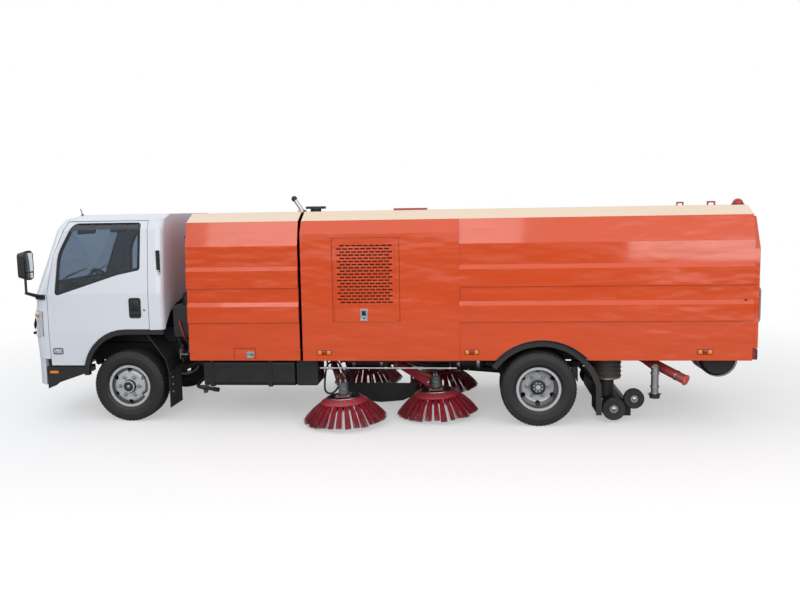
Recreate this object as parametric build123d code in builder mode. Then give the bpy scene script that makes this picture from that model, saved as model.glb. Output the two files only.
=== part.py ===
"""Street sweeper truck: cab-over chassis, water tank bay, tipping hopper and sweeping gear.

Millimetres. +X is forward, +Y is the driver's left, +Z is up, and the ground is Z = 0.
The origin is on the ground, midway between the front bumper and the back of the hopper.
"""
from build123d import *
import math
import os

os.makedirs("parts", exist_ok=True)

# ---------------------------------------------------------------- driving dimensions
overall_length = 7800.0
front_overhang = 1120.0        # front axle to the bumper's foremost line
wheelbase = 4475.0
front_x = overall_length / 2 - front_overhang
rear_x = front_x - wheelbase
tail_x = -overall_length / 2

tyre_radius = 398.5
tyre_width = 235.0
rim_radius = 222.0             # seat of the tyre's bead
rim_flange_radius = 236.0
rim_width = 176.0
rim_wall = 16.0
stud_circle = 222.25
hand_hole_radius = 27.0
hand_hole_circle = 360.0
hand_holes = 6
front_wheel_y = 855.0          # middle of a front tyre
rear_outer_y = 955.0           # middle of an outer rear tyre
twin_spacing = 262.0
kingpin_y = 745.0
axle_z = tyre_radius

running_gap = 5.0              # between pieces that move past each other
seat_gap = 0.3                 # between pieces that rest on each other

frame_half = 375.0             # outer face of a side rail
rail_height = 200.0
rail_flange = 65.0
rail_wall = 8.0
frame_top = 790.0
frame_bottom = frame_top - rail_height
frame_front_x = front_x + 830.0
frame_rear_x = front_x - 6390.0

body_half = 1110.0             # flat side of the bodywork
panel_wall = 20.0
skirt_z = 716.0                # lower edge of the side panels
side_top_z = 1935.0            # where the side starts to lean in
shoulder_half = 1030.0
shoulder_z = 2190.0
roof_half = 830.0
roof_z = 2285.0
rib_depth = 20.0

bay_front_x = front_x - 760.0          # water tank bay
bay_rear_x = front_x - 1965.0
hopper_front_x = front_x - 2000.0
cover_rear_x = front_x - 3655.0        # rear edge of the flat side cover
hopper_rear_x = front_x - 6600.0
hopper_floor_z = 950.0
floor_wall = 30.0

hopper_hinge_x = front_x - 6440.0
hopper_hinge_z = 755.0
hopper_hinge_radius = 20.0

cab_rear_x = front_x - 440.0
cab_wall = 45.0
cab_hinge_x = front_x + 905.0
cab_hinge_z = 600.0
cab_hinge_radius = 16.0
hinge_pin_half = 425.0         # half length of the hopper's and the cab's hinge pins
pin_radius = 14.0
crossmember_z = 650.0

lift_base = (front_x - 6140.0, 600.0)      # x, z of the lift cylinder's base pin
lift_eye = (front_x - 4140.0, 860.0)       # x, z of its rod's eye under the hopper
lift_ear_y = 76.0                          # inner face of the ears that hold its pins
lift_ear_wall = 14.0
nozzle_pivot = (front_x - 4960.0, 530.0)   # x, z of the drag links' pins
nozzle_link_y = 210.0
duct_x = front_x - 5230.0                  # upright suction duct from the nozzle to the hopper
duct_y = 560.0
duct_radius = 165.0
cab_arch_radius = 482.0
cab_arch_z = 553.0

brush_radius = 460.0
brush_plate_radius = 255.0
brush_plate_z = 275.0
brush_ground_gap = 12.0
brush_tilt = 3.0               # degrees, front bristles lower
arm_z = 545.0                  # middle of the arm's boss
# label, (x, y) of the arm's upright pin, (x, y) of the brush's middle
brush_table = (("front", (front_x - 2200.0, 420.0), (front_x - 2404.0, 985.0)),
               ("rear", (front_x - 2920.0, 420.0), (front_x - 3385.0, 640.0)))


# ---------------------------------------------------------------- small helpers
def block(x, y, z, mode=Mode.ADD):
    """A box between two limits on each axis."""
    with Locations(((x[0] + x[1]) / 2, (y[0] + y[1]) / 2, (z[0] + z[1]) / 2)):
        Box(x[1] - x[0], y[1] - y[0], z[1] - z[0], mode=mode)


def face_on(plane, points):
    """A closed polygon on a plane."""
    with BuildSketch(plane, mode=Mode.PRIVATE) as outline:
        with BuildLine():
            Polyline(*points, close=True)
        make_face()
    return outline.sketch


def across(points, y, mode=Mode.ADD):
    """A side-view outline of (x, z) points, carried from one y to another."""
    extrude(face_on(Plane.XZ.offset(-y[0]), points), amount=-(y[1] - y[0]), mode=mode)


def along(points, x, mode=Mode.ADD):
    """A front-view outline of (y, z) points, carried from one x to another."""
    extrude(face_on(Plane.YZ.offset(x[0]), points), amount=x[1] - x[0], mode=mode)


def upright(points, z, mode=Mode.ADD):
    """A plan outline of (x, y) points, carried from one z to another."""
    extrude(face_on(Plane.XY.offset(z[0]), points), amount=z[1] - z[0], mode=mode)


def bar(start, end, radius, mode=Mode.ADD):
    """A round bar from one point to another."""
    run = Vector(*end) - Vector(*start)
    with BuildSketch(Plane(origin=start, z_dir=run), mode=Mode.PRIVATE) as section:
        Circle(radius)
    extrude(section.sketch, amount=run.length, mode=mode)


def turned(x, z, points, mode=Mode.ADD):
    """A (y, radius) outline turned about the crosswise axis through (x, z)."""
    plane = Plane(origin=(x, 0, z), x_dir=(0, 1, 0), z_dir=(1, 0, 0))
    revolve(face_on(plane, points), axis=Axis((x, 0, z), (0, 1, 0)), mode=mode)


def save(piece, name):
    """Labels a finished piece and writes its file."""
    piece.part.label = name
    export_step(piece.part, f"parts/{name}.step")


def rounded_section(height, front, rear, half, front_radius, rear_radius):
    """A plan outline of the cab at one height, with rounded corners."""
    with BuildSketch(Plane.XY.offset(height), mode=Mode.PRIVATE) as section:
        with BuildLine():
            Polyline((front, -half), (front, half), (rear, half), (rear, -half), close=True)
        make_face()
        fillet(section.vertices().group_by(Axis.X)[-1], front_radius)
        fillet(section.vertices().group_by(Axis.X)[0], rear_radius)
    return section.sketch


SIDES = (("left", 1), ("right", -1))

# ---------------------------------------------------------------- chassis frame
crossmember_height = 90.0
crossmember_x = (front_x + 770, front_x - 1150, front_x - 2350, front_x - 3500, lift_base[0] - 120)
nozzle_member_z = (frame_bottom + 5, crossmember_z)
with BuildPart() as chassis_frame:
    for name, side in SIDES:
        web = sorted((side * frame_half, side * (frame_half - rail_wall)))
        flange = sorted((side * frame_half, side * (frame_half - rail_flange)))
        block((frame_rear_x, frame_front_x), web, (frame_bottom, frame_top))
        block((frame_rear_x, frame_front_x), flange, (frame_bottom, frame_bottom + rail_wall))
        block((frame_rear_x, frame_front_x), flange, (frame_top - rail_wall, frame_top))
    member_y = (-frame_half + rail_wall - 1, frame_half - rail_wall + 1)
    for x in crossmember_x:
        block((x - 35, x + 35), member_y, (crossmember_z, crossmember_z + crossmember_height))
    block((nozzle_pivot[0] - 35, nozzle_pivot[0] + 35), member_y, nozzle_member_z)
    # ears of the hopper's hinge
    for side in (1, -1):
        ear = sorted((side * (frame_half - 45), side * frame_half))
        across([(frame_rear_x + 60, frame_bottom), (frame_rear_x + 60, frame_top - 10),
                (hopper_hinge_x + 34, frame_top - 1), (hopper_hinge_x - 34, frame_top - 1),
                (hopper_hinge_x - 40, hopper_hinge_z - 30), (frame_rear_x, frame_bottom)], ear)
    bar((hopper_hinge_x, -hinge_pin_half, hopper_hinge_z),
        (hopper_hinge_x, hinge_pin_half, hopper_hinge_z), hopper_hinge_radius)
    # ears and pin of the cab's tilt hinge
    for side in (1, -1):
        ear = sorted((side * (frame_half - 45), side * frame_half))
        across([(frame_front_x - 40, frame_bottom), (frame_front_x - 40, frame_bottom + 120),
                (cab_hinge_x, cab_hinge_z + 30), (cab_hinge_x + 26, cab_hinge_z),
                (cab_hinge_x, cab_hinge_z - 28)], ear)
    bar((cab_hinge_x, -hinge_pin_half, cab_hinge_z),
        (cab_hinge_x, hinge_pin_half, cab_hinge_z), cab_hinge_radius)
    # ears and pins of the suction nozzle's drag links
    for side in (1, -1):
        for y in (nozzle_link_y - 45, nozzle_link_y + 31):
            block((nozzle_pivot[0] - 30, nozzle_pivot[0] + 30), sorted((side * y, side * (y + 14))),
                  (nozzle_pivot[1] - 30, crossmember_z - 10))
        bar((nozzle_pivot[0], side * (nozzle_link_y - 45), nozzle_pivot[1]),
            (nozzle_pivot[0], side * (nozzle_link_y + 45), nozzle_pivot[1]), pin_radius)
    # ears and pin of the lift cylinder's base
    for y in (-lift_ear_y - lift_ear_wall, lift_ear_y):
        across([(lift_base[0] - 100, crossmember_z), (lift_base[0] - 100, crossmember_z + 85),
                (lift_base[0] + 24, lift_base[1] + 24), (lift_base[0] + 24, lift_base[1] - 24),
                (lift_base[0] - 24, lift_base[1] - 24)], (y, y + lift_ear_wall))
    bar((lift_base[0], -lift_ear_y - lift_ear_wall, lift_base[1]),
        (lift_base[0], lift_ear_y + lift_ear_wall, lift_base[1]), pin_radius)
    # brackets and upright pins of the four brush arms
    for label, pivot, hub in brush_table:
        for side in (1, -1):
            y = sorted((side * (frame_half - 1), side * (pivot[1] + 34)))
            for low, high in ((arm_z - 58, arm_z - 45), (arm_z + 45, arm_z + 58)):
                block((pivot[0] - 34, pivot[0] + 34), y, (low, high))
            web = sorted((side * (frame_half - 1), side * (frame_half + 11)))
            block((pivot[0] - 34, pivot[0] + 34), web, (arm_z - 58, frame_bottom + 120))
            bar((pivot[0], side * pivot[1], arm_z - 58), (pivot[0], side * pivot[1], arm_z + 58), pin_radius)
save(chassis_frame, "chassis_frame")

# ---------------------------------------------------------------- axles and springs
axle_beam_z = 335.0
spring_y = 335.0
spring_width = 70.0
with BuildPart() as front_axle:
    block((front_x - 40, front_x + 40), (-560, 560), (axle_beam_z - 45, axle_beam_z + 40))
    for side in (1, -1):
        along([(side * 540, axle_beam_z - 45), (side * 540, axle_beam_z + 40),
               (side * (kingpin_y - 60), axle_z + 45), (side * kingpin_y, axle_z + 45),
               (side * kingpin_y, axle_z - 40), (side * (kingpin_y - 45), axle_z - 40)],
              (front_x - 25, front_x + 25))
        bar((front_x, side * kingpin_y, axle_z - 40), (front_x, side * kingpin_y, axle_z + 45), 31)
        bar((front_x, side * kingpin_y, axle_z - 96), (front_x, side * kingpin_y, axle_z + 100), pin_radius)
save(front_axle, "front_axle")

drum_radius = 160.0
backplate_y = 600.0
axle_shaft_radius = 30.0
rear_inner_y = rear_outer_y - twin_spacing
disc_wall = 12.0
rear_inner_face_y = rear_inner_y + 95
axle_shaft_end = rear_inner_face_y - disc_wall - seat_gap
with BuildPart() as rear_axle:
    bar((rear_x, -backplate_y, axle_z), (rear_x, backplate_y, axle_z), 62)
    turned(rear_x, axle_z, [(-230, 0), (-230, 60), (-120, 175), (120, 175), (230, 60), (230, 0)])
    bar((rear_x, 0, axle_z), (rear_x + 330, 0, axle_z), 75)
    bar((rear_x, -axle_shaft_end, axle_z), (rear_x, axle_shaft_end, axle_z), axle_shaft_radius)
    for side in (1, -1):
        block((rear_x - 75, rear_x + 75), sorted((side * (spring_y - 45), side * (spring_y + 45))),
              (axle_z - 75, axle_z + 66))
save(rear_axle, "rear_axle")

# each pack: middle x, half length, seat height, height of the eyes, thickness of the pack
spring_packs = ((front_x, 620.0, axle_beam_z + 40 + seat_gap, 62.0),
                (rear_x, 700.0, axle_z + 66 + seat_gap, 84.0))
with BuildPart() as leaf_springs:
    for x, half_length, seat, thick in spring_packs:
        eye_z = frame_bottom - 32
        for side in (1, -1):
            width = (side * spring_y - spring_width / 2, side * spring_y + spring_width / 2)
            across([(x - half_length, eye_z - 10), (x - half_length, eye_z + 14),
                    (x - half_length / 2, (seat + thick + eye_z) / 2 + 6), (x, seat + thick),
                    (x + half_length / 2, (seat + thick + eye_z) / 2 + 6),
                    (x + half_length, eye_z + 14), (x + half_length, eye_z - 10),
                    (x + half_length * 0.45, seat + 12), (x + 90, seat), (x - 90, seat),
                    (x - half_length * 0.45, seat + 12)], width)
            for end in (1, -1):
                eye_x = x + end * half_length
                bar((eye_x, width[0] - 12, eye_z), (eye_x, width[1] + 12, eye_z), 30)
                for y in (width[0] - 12, width[1] + 4):
                    block((eye_x - 32, eye_x + 32), (y, y + 8), (eye_z, frame_bottom - seat_gap))
save(leaf_springs, "leaf_springs")

# ---------------------------------------------------------------- engine, gearbox, propshaft
with BuildPart() as engine_block:
    block((front_x - 330, front_x + 560), (-290, 290), (470, 960))
    along([(-200, 480), (-260, 600), (-200, 820), (200, 820), (260, 600), (200, 480)],
          (front_x - 560, front_x - 330))
    along([(-130, 500), (-160, 600), (-130, 720), (130, 720), (160, 600), (130, 500)],
          (front_x - 1010, front_x - 560))
    for side in (1, -1):
        block((front_x + 80, front_x + 200), sorted((side * 280, side * (frame_half - rail_wall - seat_gap))),
              (frame_bottom + rail_wall + 20, frame_top - rail_wall - 40))
save(engine_block, "engine_block")

shaft_joint = (front_x - 2350, 0, 535)
with BuildPart() as propshaft:
    bar((front_x - 1010 - seat_gap, 0, 600), (front_x - 1040, 0, 600), 56)
    bar((front_x - 1035, 0, 600), shaft_joint, 42)
    bar(shaft_joint, (rear_x + 355, 0, axle_z), 42)
    bar((rear_x + 365, 0, axle_z), (rear_x + 330 + seat_gap, 0, axle_z), 56)
    for side in (1, -1):
        block((shaft_joint[0] - 12, shaft_joint[0] + 12), sorted((side * 50, side * 64)),
              (shaft_joint[2], crossmember_z - seat_gap))
    bar((shaft_joint[0] - 45, 0, shaft_joint[2]), (shaft_joint[0] + 45, 0, shaft_joint[2]), 74)
save(propshaft, "propshaft")

# ---------------------------------------------------------------- tanks and boxes under the sides
tank_x = (front_x - 1885.0, front_x - 885.0)
tank_y = (610.0, 1040.0)
tank_z = (424.0, skirt_z - 12)
with BuildPart() as fuel_tank:
    block(tank_x, tank_y, tank_z)
    fillet(fuel_tank.edges().filter_by(Axis.X), 45)
    for x in (tank_x[0] + 270, tank_x[1] - 90):
        block((x - 22, x + 22), (tank_y[0] - 6, tank_y[1] + 6), (tank_z[0] - 6, tank_z[1] + 6))
        block((x - 30, x + 30), (frame_half + seat_gap, tank_y[0] + 40), (tank_z[1] - 70, tank_z[1] + 6))
save(fuel_tank, "fuel_tank")

with BuildPart() as side_boxes:
    box_x = (front_x - 2135.0, front_x - 1905.0)
    block(box_x, (660, 1030), (430, skirt_z - 12))
    fillet(side_boxes.edges().filter_by(Axis.Y), 18)
    block((box_x[0] + 80, box_x[1] - 80), (frame_half + seat_gap, 700), (610, 690))
    block((front_x - 1650, front_x - 900), (-1035, -620), (430, skirt_z - 12))
    for x in (front_x - 1480, front_x - 1070):
        block((x - 30, x + 30), (-660, -frame_half - seat_gap), (620, 700))
save(side_boxes, "side_boxes")

# ---------------------------------------------------------------- water tank bay behind the cab
rib_rows = ((1485.0, 1722.0), (1119.0, 1343.0))     # low and high edge of each pressed rib
rib_bevel = 48.0


def body_outline(inset, foot=skirt_z):
    """The bodywork's front view, from its foot up one side, over the roof and down the other."""
    return [(body_half - inset, foot), (body_half - inset, side_top_z),
            (shoulder_half - inset, shoulder_z), (roof_half - inset / 2, roof_z - inset),
            (-roof_half + inset / 2, roof_z - inset), (-shoulder_half + inset, shoulder_z),
            (-body_half + inset, side_top_z), (-body_half + inset, foot)]


def ribs(x):
    """The pressed ribs on both sides: a square lower step and a bevelled upper one."""
    for low, high in rib_rows:
        for side in (1, -1):
            along([(side * (body_half - 2), low), (side * (body_half + rib_depth), low + 6),
                   (side * (body_half + rib_depth), high - rib_bevel), (side * (body_half - 2), high)], x)


tank_bay_floor = frame_top + 40.0
with BuildPart() as front_body:
    along(body_outline(0), (bay_rear_x, bay_front_x))
    along(body_outline(panel_wall, skirt_z - 1), (bay_rear_x - 1, bay_front_x - panel_wall),
          mode=Mode.SUBTRACT)
    block((bay_front_x - panel_wall - 1, bay_front_x + 1), (-frame_half - 130, frame_half + 130),
          (skirt_z - 1, 1150), mode=Mode.SUBTRACT)
    ribs((bay_rear_x, bay_front_x))
    for side in (1, -1):
        for x in (bay_front_x - 150, bay_rear_x + 100):
            block((x - 30, x + 30), sorted((side * (frame_half + seat_gap), side * (body_half - 1))),
                  (frame_top - 70, frame_top - 10))
save(front_body, "front_body")

with BuildPart() as water_tank:
    block((bay_rear_x + 60, bay_front_x - panel_wall - 60), (-980, 980), (tank_bay_floor, 1880))
    fillet(water_tank.edges().filter_by(Axis.X), 160)
    for x in (bay_front_x - 330, bay_rear_x + 300):
        block((x - 60, x + 60), (-frame_half, frame_half), (frame_top + seat_gap, tank_bay_floor + 10))
save(water_tank, "water_tank")

with BuildPart() as air_cleaner:
    block((bay_front_x + 60, cab_rear_x - 70), (-520, 880), (940, 1290))
    fillet(air_cleaner.edges().filter_by(Axis.Y), 30)
    for side in (1, -1):
        block((bay_front_x + 90, cab_rear_x - 110), sorted((side * (frame_half - 60), side * frame_half)),
              (frame_top + seat_gap, 960))
    bar((bay_front_x + 130, 760, 1250), (bay_front_x + 130, 760, 1380), 45)
    bar((bay_front_x + 130, 760, 1380), (bay_front_x + 130, 130, 1430), 45)
save(air_cleaner, "air_cleaner")

# ---------------------------------------------------------------- auxiliary engine in the hood
aux_x = (front_x - 3150.0, front_x - 2300.0)
with BuildPart() as auxiliary_engine:
    block(aux_x, (-330, 330), (frame_top + 90, 1480))
    for x in (aux_x[0] + 90, aux_x[1] - 90):
        block((x - 40, x + 40), (-frame_half, frame_half), (frame_top + seat_gap, frame_top + 90))
save(auxiliary_engine, "auxiliary_engine")

# ---------------------------------------------------------------- mudguards and flaps
wheel_arch = (front_x - 4505.0, 281.0, 644.0)      # x, z and radius of the body's cut over the rear wheels
guard_y = (585.0, 1068.0)
guard_sheet = (590.0, 600.0)                       # radii of the mudguard's sheet about the arch's middle
guard_lip = (575.0, 634.0)                         # and of the deep lip along its outer edge
lip_wall = 10.0
guard_arc = range(35, 166, 10)                     # degrees, from the front edge to the rear
guard_foot_z = 130.0
# rear half of the front wheel's mudguard: behind the axle, height
fender_line = ((262.0, 972.0), (345.0, 860.0), (455.0, 700.0), (482.0, 560.0))
fender_wall = 8.0
fender_y = (640.0, 1000.0)
flap_z = 170.0
# rubber apron under the frame between the front and the rear brushes: behind the front axle, height
apron_line = ((2300.0, 255.0), (3125.0, 255.0), (3110.0, 110.0), (2960.0, 45.0), (2700.0, 24.0),
              (2450.0, 48.0), (2310.0, 110.0))
apron_y = (92.0, 100.0)


def guard_points(radius):
    """The side view of one edge of a rear mudguard: an arc about the arch and a straight foot."""
    arc = [(wheel_arch[0] + radius * math.cos(math.radians(a)),
            wheel_arch[1] + radius * math.sin(math.radians(a)))
           for a in guard_arc]
    return arc + [(wheel_arch[0] - radius + 16, guard_foot_z)]


with BuildPart() as mudguards:
    for side in (1, -1):
        across(guard_points(guard_sheet[1]) + guard_points(guard_sheet[0])[::-1],
               sorted((side * guard_y[0], side * guard_y[1])))
        across(guard_points(guard_lip[1]) + guard_points(guard_lip[0])[::-1],
               sorted((side * (guard_y[1] - lip_wall), side * guard_y[1])))
        for back in (-200, 240):
            bar((rear_x - back, side * (frame_half + 6.3), frame_top - 40),
                (rear_x - back, side * (guard_y[0] + 60), frame_top + 50), 18)
        outer = [(front_x - back, z) for back, z in fender_line]
        inner = [(x + fender_wall, z - fender_wall) for x, z in outer]
        across(outer + [(outer[-1][0], flap_z), (inner[-1][0], flap_z)] + inner[::-1],
               sorted((side * fender_y[0], side * fender_y[1])))
        bar((outer[-1][0] - 8, side * (frame_half + 1.8), frame_bottom + 30),
            (outer[-1][0] - 8, side * (fender_y[1] - 5), frame_bottom - 40), 12)
    # room for the suction duct in the left mudguard
    bar((duct_x, duct_y, guard_foot_z - 1), (duct_x, duct_y, wheel_arch[1] + wheel_arch[2]), duct_radius + 10,
        mode=Mode.SUBTRACT)
    across([(front_x - back, z) for back, z in apron_line], apron_y)
    for back in (2350, 3070):
        block((front_x - back - 15, front_x - back + 15), (apron_y[1] - 1, apron_y[1] + 7), (200, 480))
        block((front_x - back - 15, front_x - back + 15), (apron_y[1] - 1, frame_half - 20), (480, 490))
        block((front_x - back - 15, front_x - back + 15), (frame_half - 28, frame_half - 20),
              (480, frame_bottom - seat_gap))
save(mudguards, "mudguards")

# ---------------------------------------------------------------- exhaust
silencer_x = front_x - 6345.0
silencer_z = 692.0
silencer_radius = 190.0
with BuildPart() as exhaust:
    turned(silencer_x, silencer_z, [(430, 0), (430, silencer_radius - 25), (460, silencer_radius),
                                    (830, silencer_radius), (860, silencer_radius - 25), (860, 0)])
    bar((silencer_x + 60, 455, silencer_z - 30), (silencer_x + 520, 455, silencer_z), 32)
    bar((silencer_x + 510, 455, silencer_z), (silencer_x + 570, frame_half + 33, silencer_z), 32)
    block((silencer_x - 15, silencer_x + 15), (frame_half + seat_gap, 470),
          (silencer_z - 25, silencer_z + 25))
    # the auxiliary engine's stack on the roof of the tank bay
    bar((front_x - 1880, 380, roof_z + 15), (front_x - 1795, 380, 2430), 24)
    bar((front_x - 1880, 380, roof_z + seat_gap), (front_x - 1880, 380, roof_z + 22), 48)
    with Locations((front_x - 1792, 380, 2432)):
        Sphere(33)
save(exhaust, "exhaust")

# ---------------------------------------------------------------- water drain and hydrant coupling
with BuildPart() as drain_pipes:
    bar((front_x - 5560, 640, 690), (front_x - 5980, 1015, 492), 50)
    bar((front_x - 5672, 985, 340), (front_x - 5672, 985, 620), 38)
    bar((front_x - 5672, 985, 300), (front_x - 5672, 985, 350), 52)
    bar((front_x - 5672, 985, 620), (front_x - 5560, 600, 690), 38)
    bar((front_x - 5672, 985, 299), (front_x - 5672, 985, 360), 32, mode=Mode.SUBTRACT)
    bar((front_x - 5560, frame_half + seat_gap, 690), (front_x - 5560, 640, 690), 60)
save(drain_pipes, "drain_pipes")

# ---------------------------------------------------------------- suction duct, nozzle, casters
throat_radius = 95.0
with BuildPart() as suction_duct:
    bar((duct_x, duct_y, 430), (duct_x, duct_y, hopper_floor_z - floor_wall - 20), duct_radius)
    bar((duct_x, duct_y, 429), (duct_x, duct_y, hopper_floor_z), duct_radius - 12, mode=Mode.SUBTRACT)
    block((duct_x - 40, duct_x + 40), (frame_half + seat_gap, duct_y - duct_radius + 12), (680, 740))
save(suction_duct, "suction_duct")

nozzle_x = (front_x - 5470.0, front_x - 5190.0)
nozzle_half = 790.0
nozzle_z = (58.0, 250.0)
caster_y = 885.0
caster_width = 62.0
caster_pin_radius = 15.0
casters = (("front", front_x - 5272.0, 158.0, 122.0), ("rear", front_x - 5480.0, 268.0, 106.0))
with BuildPart() as suction_nozzle:
    across([(nozzle_x[0], nozzle_z[0]), (nozzle_x[0], nozzle_z[1] - 70), (nozzle_x[0] + 90, nozzle_z[1]),
            (nozzle_x[1] - 60, nozzle_z[1]), (nozzle_x[1], nozzle_z[1] - 50), (nozzle_x[1], nozzle_z[0])],
           (-nozzle_half, nozzle_half))
    block((nozzle_x[0] + 12, nozzle_x[1] - 12), (-nozzle_half + 12, nozzle_half - 12),
          (nozzle_z[0] - 1, nozzle_z[1] - 80), mode=Mode.SUBTRACT)
    bar((duct_x, duct_y, nozzle_z[1] - 20), (duct_x, duct_y, 520), throat_radius)
    bar((duct_x, duct_y, nozzle_z[0]), (duct_x, duct_y, 521), throat_radius - 10, mode=Mode.SUBTRACT)
    for side in (1, -1):
        y = side * nozzle_link_y
        bar((nozzle_pivot[0], y, nozzle_pivot[1]), (nozzle_x[1] - 40, y, nozzle_z[1] - 20), 18)
        bar((nozzle_pivot[0], y - 26, nozzle_pivot[1]), (nozzle_pivot[0], y + 26, nozzle_pivot[1]), 28)
        bar((nozzle_pivot[0], y - 30, nozzle_pivot[1]), (nozzle_pivot[0], y + 30, nozzle_pivot[1]),
            pin_radius + seat_gap, mode=Mode.SUBTRACT)
        for label, x, z, radius in casters:
            bar((x, side * (nozzle_half + 8), z), (x, side * (caster_y + caster_width / 2 + 8), z),
                caster_pin_radius)
            bar((x, side * (nozzle_half + 8), z),
                (x, side * (caster_y - caster_width / 2 - running_gap), z), 30)
        arm = sorted((side * (nozzle_half + 8), side * (nozzle_half + 24)))
        across([(casters[0][1] + 30, 130), (casters[0][1] + 30, 190), (casters[1][1] - 10, 300),
                (casters[1][1] - 30, 240)], arm)
        block((nozzle_x[0] + 60, nozzle_x[1] - 60),
              sorted((side * (nozzle_half - 20), side * (nozzle_half + 24))),
              (130, 180))
save(suction_nozzle, "suction_nozzle")

for label, x, z, radius in casters:
    with BuildPart() as caster_pair:
        for side in (1, -1):
            y = sorted((side * (caster_y - caster_width / 2), side * (caster_y + caster_width / 2)))
            bore = caster_pin_radius + seat_gap
            turned(x, z, [(y[0], bore), (y[0], radius - 8), (y[0] + 8, radius), (y[1] - 8, radius),
                          (y[1], radius - 8), (y[1], bore)])
    save(caster_pair, f"casters_{label}")

# ---------------------------------------------------------------- wheels, tyres, knuckles
front_face_y = 938.0           # outer face of the front wheel's disc
front_hub_y = 985.0
rear_face_y = 890.0            # outer face of the outer rear wheel's disc
rear_hub_y = 965.0
disc_radius = 150.0
drum_wall_y = 795.0
hub_radius = 78.0


def tyre_ring(x, middle):
    """A tyre's outline: beads, bulging walls, round shoulders and a flat tread."""
    half = tyre_width / 2
    seat = rim_radius + seat_gap
    bead = rim_width / 2 - 12
    wall = [(bead, seat), (bead, rim_flange_radius + 1), (half * 0.93, seat + 42), (half, tyre_radius - 95),
            (half * 0.94, tyre_radius - 38), (half * 0.78, tyre_radius)]
    turned(x, axle_z, [(middle - y, radius) for y, radius in wall]
           + [(middle + y, radius) for y, radius in wall[::-1]])


def rim_barrel(x, middle):
    """The rim: a hollow barrel with a flange at each edge."""
    half = rim_width / 2
    turned(x, axle_z, [(middle - half, rim_radius - rim_wall), (middle - half, rim_flange_radius),
                       (middle - half + 11.5, rim_flange_radius), (middle - half + 11.5, rim_radius),
                       (middle + half - 11.5, rim_radius), (middle + half - 11.5, rim_flange_radius),
                       (middle + half, rim_flange_radius), (middle + half, rim_radius - rim_wall)])


def disc(x, edge, face, sign):
    """The wheel's disc, from the barrel to its flat middle; sign is the way the face looks."""
    back = face - sign * disc_wall
    turned(x, axle_z, [(edge, rim_radius - rim_wall + 4),
                       (edge - sign * disc_wall, rim_radius - rim_wall + 4),
                       (back, disc_radius), (back, 0), (face, 0), (face, disc_radius)])


def hand_cutters(x, face):
    """The round holes through the disc's slope."""
    for i in range(hand_holes):
        turn = math.radians(30 + i * 360 / hand_holes)
        px = x + hand_hole_circle / 2 * math.cos(turn)
        pz = axle_z + hand_hole_circle / 2 * math.sin(turn)
        bar((px, face - 90, pz), (px, face + 90, pz), hand_hole_radius, mode=Mode.SUBTRACT)


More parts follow.
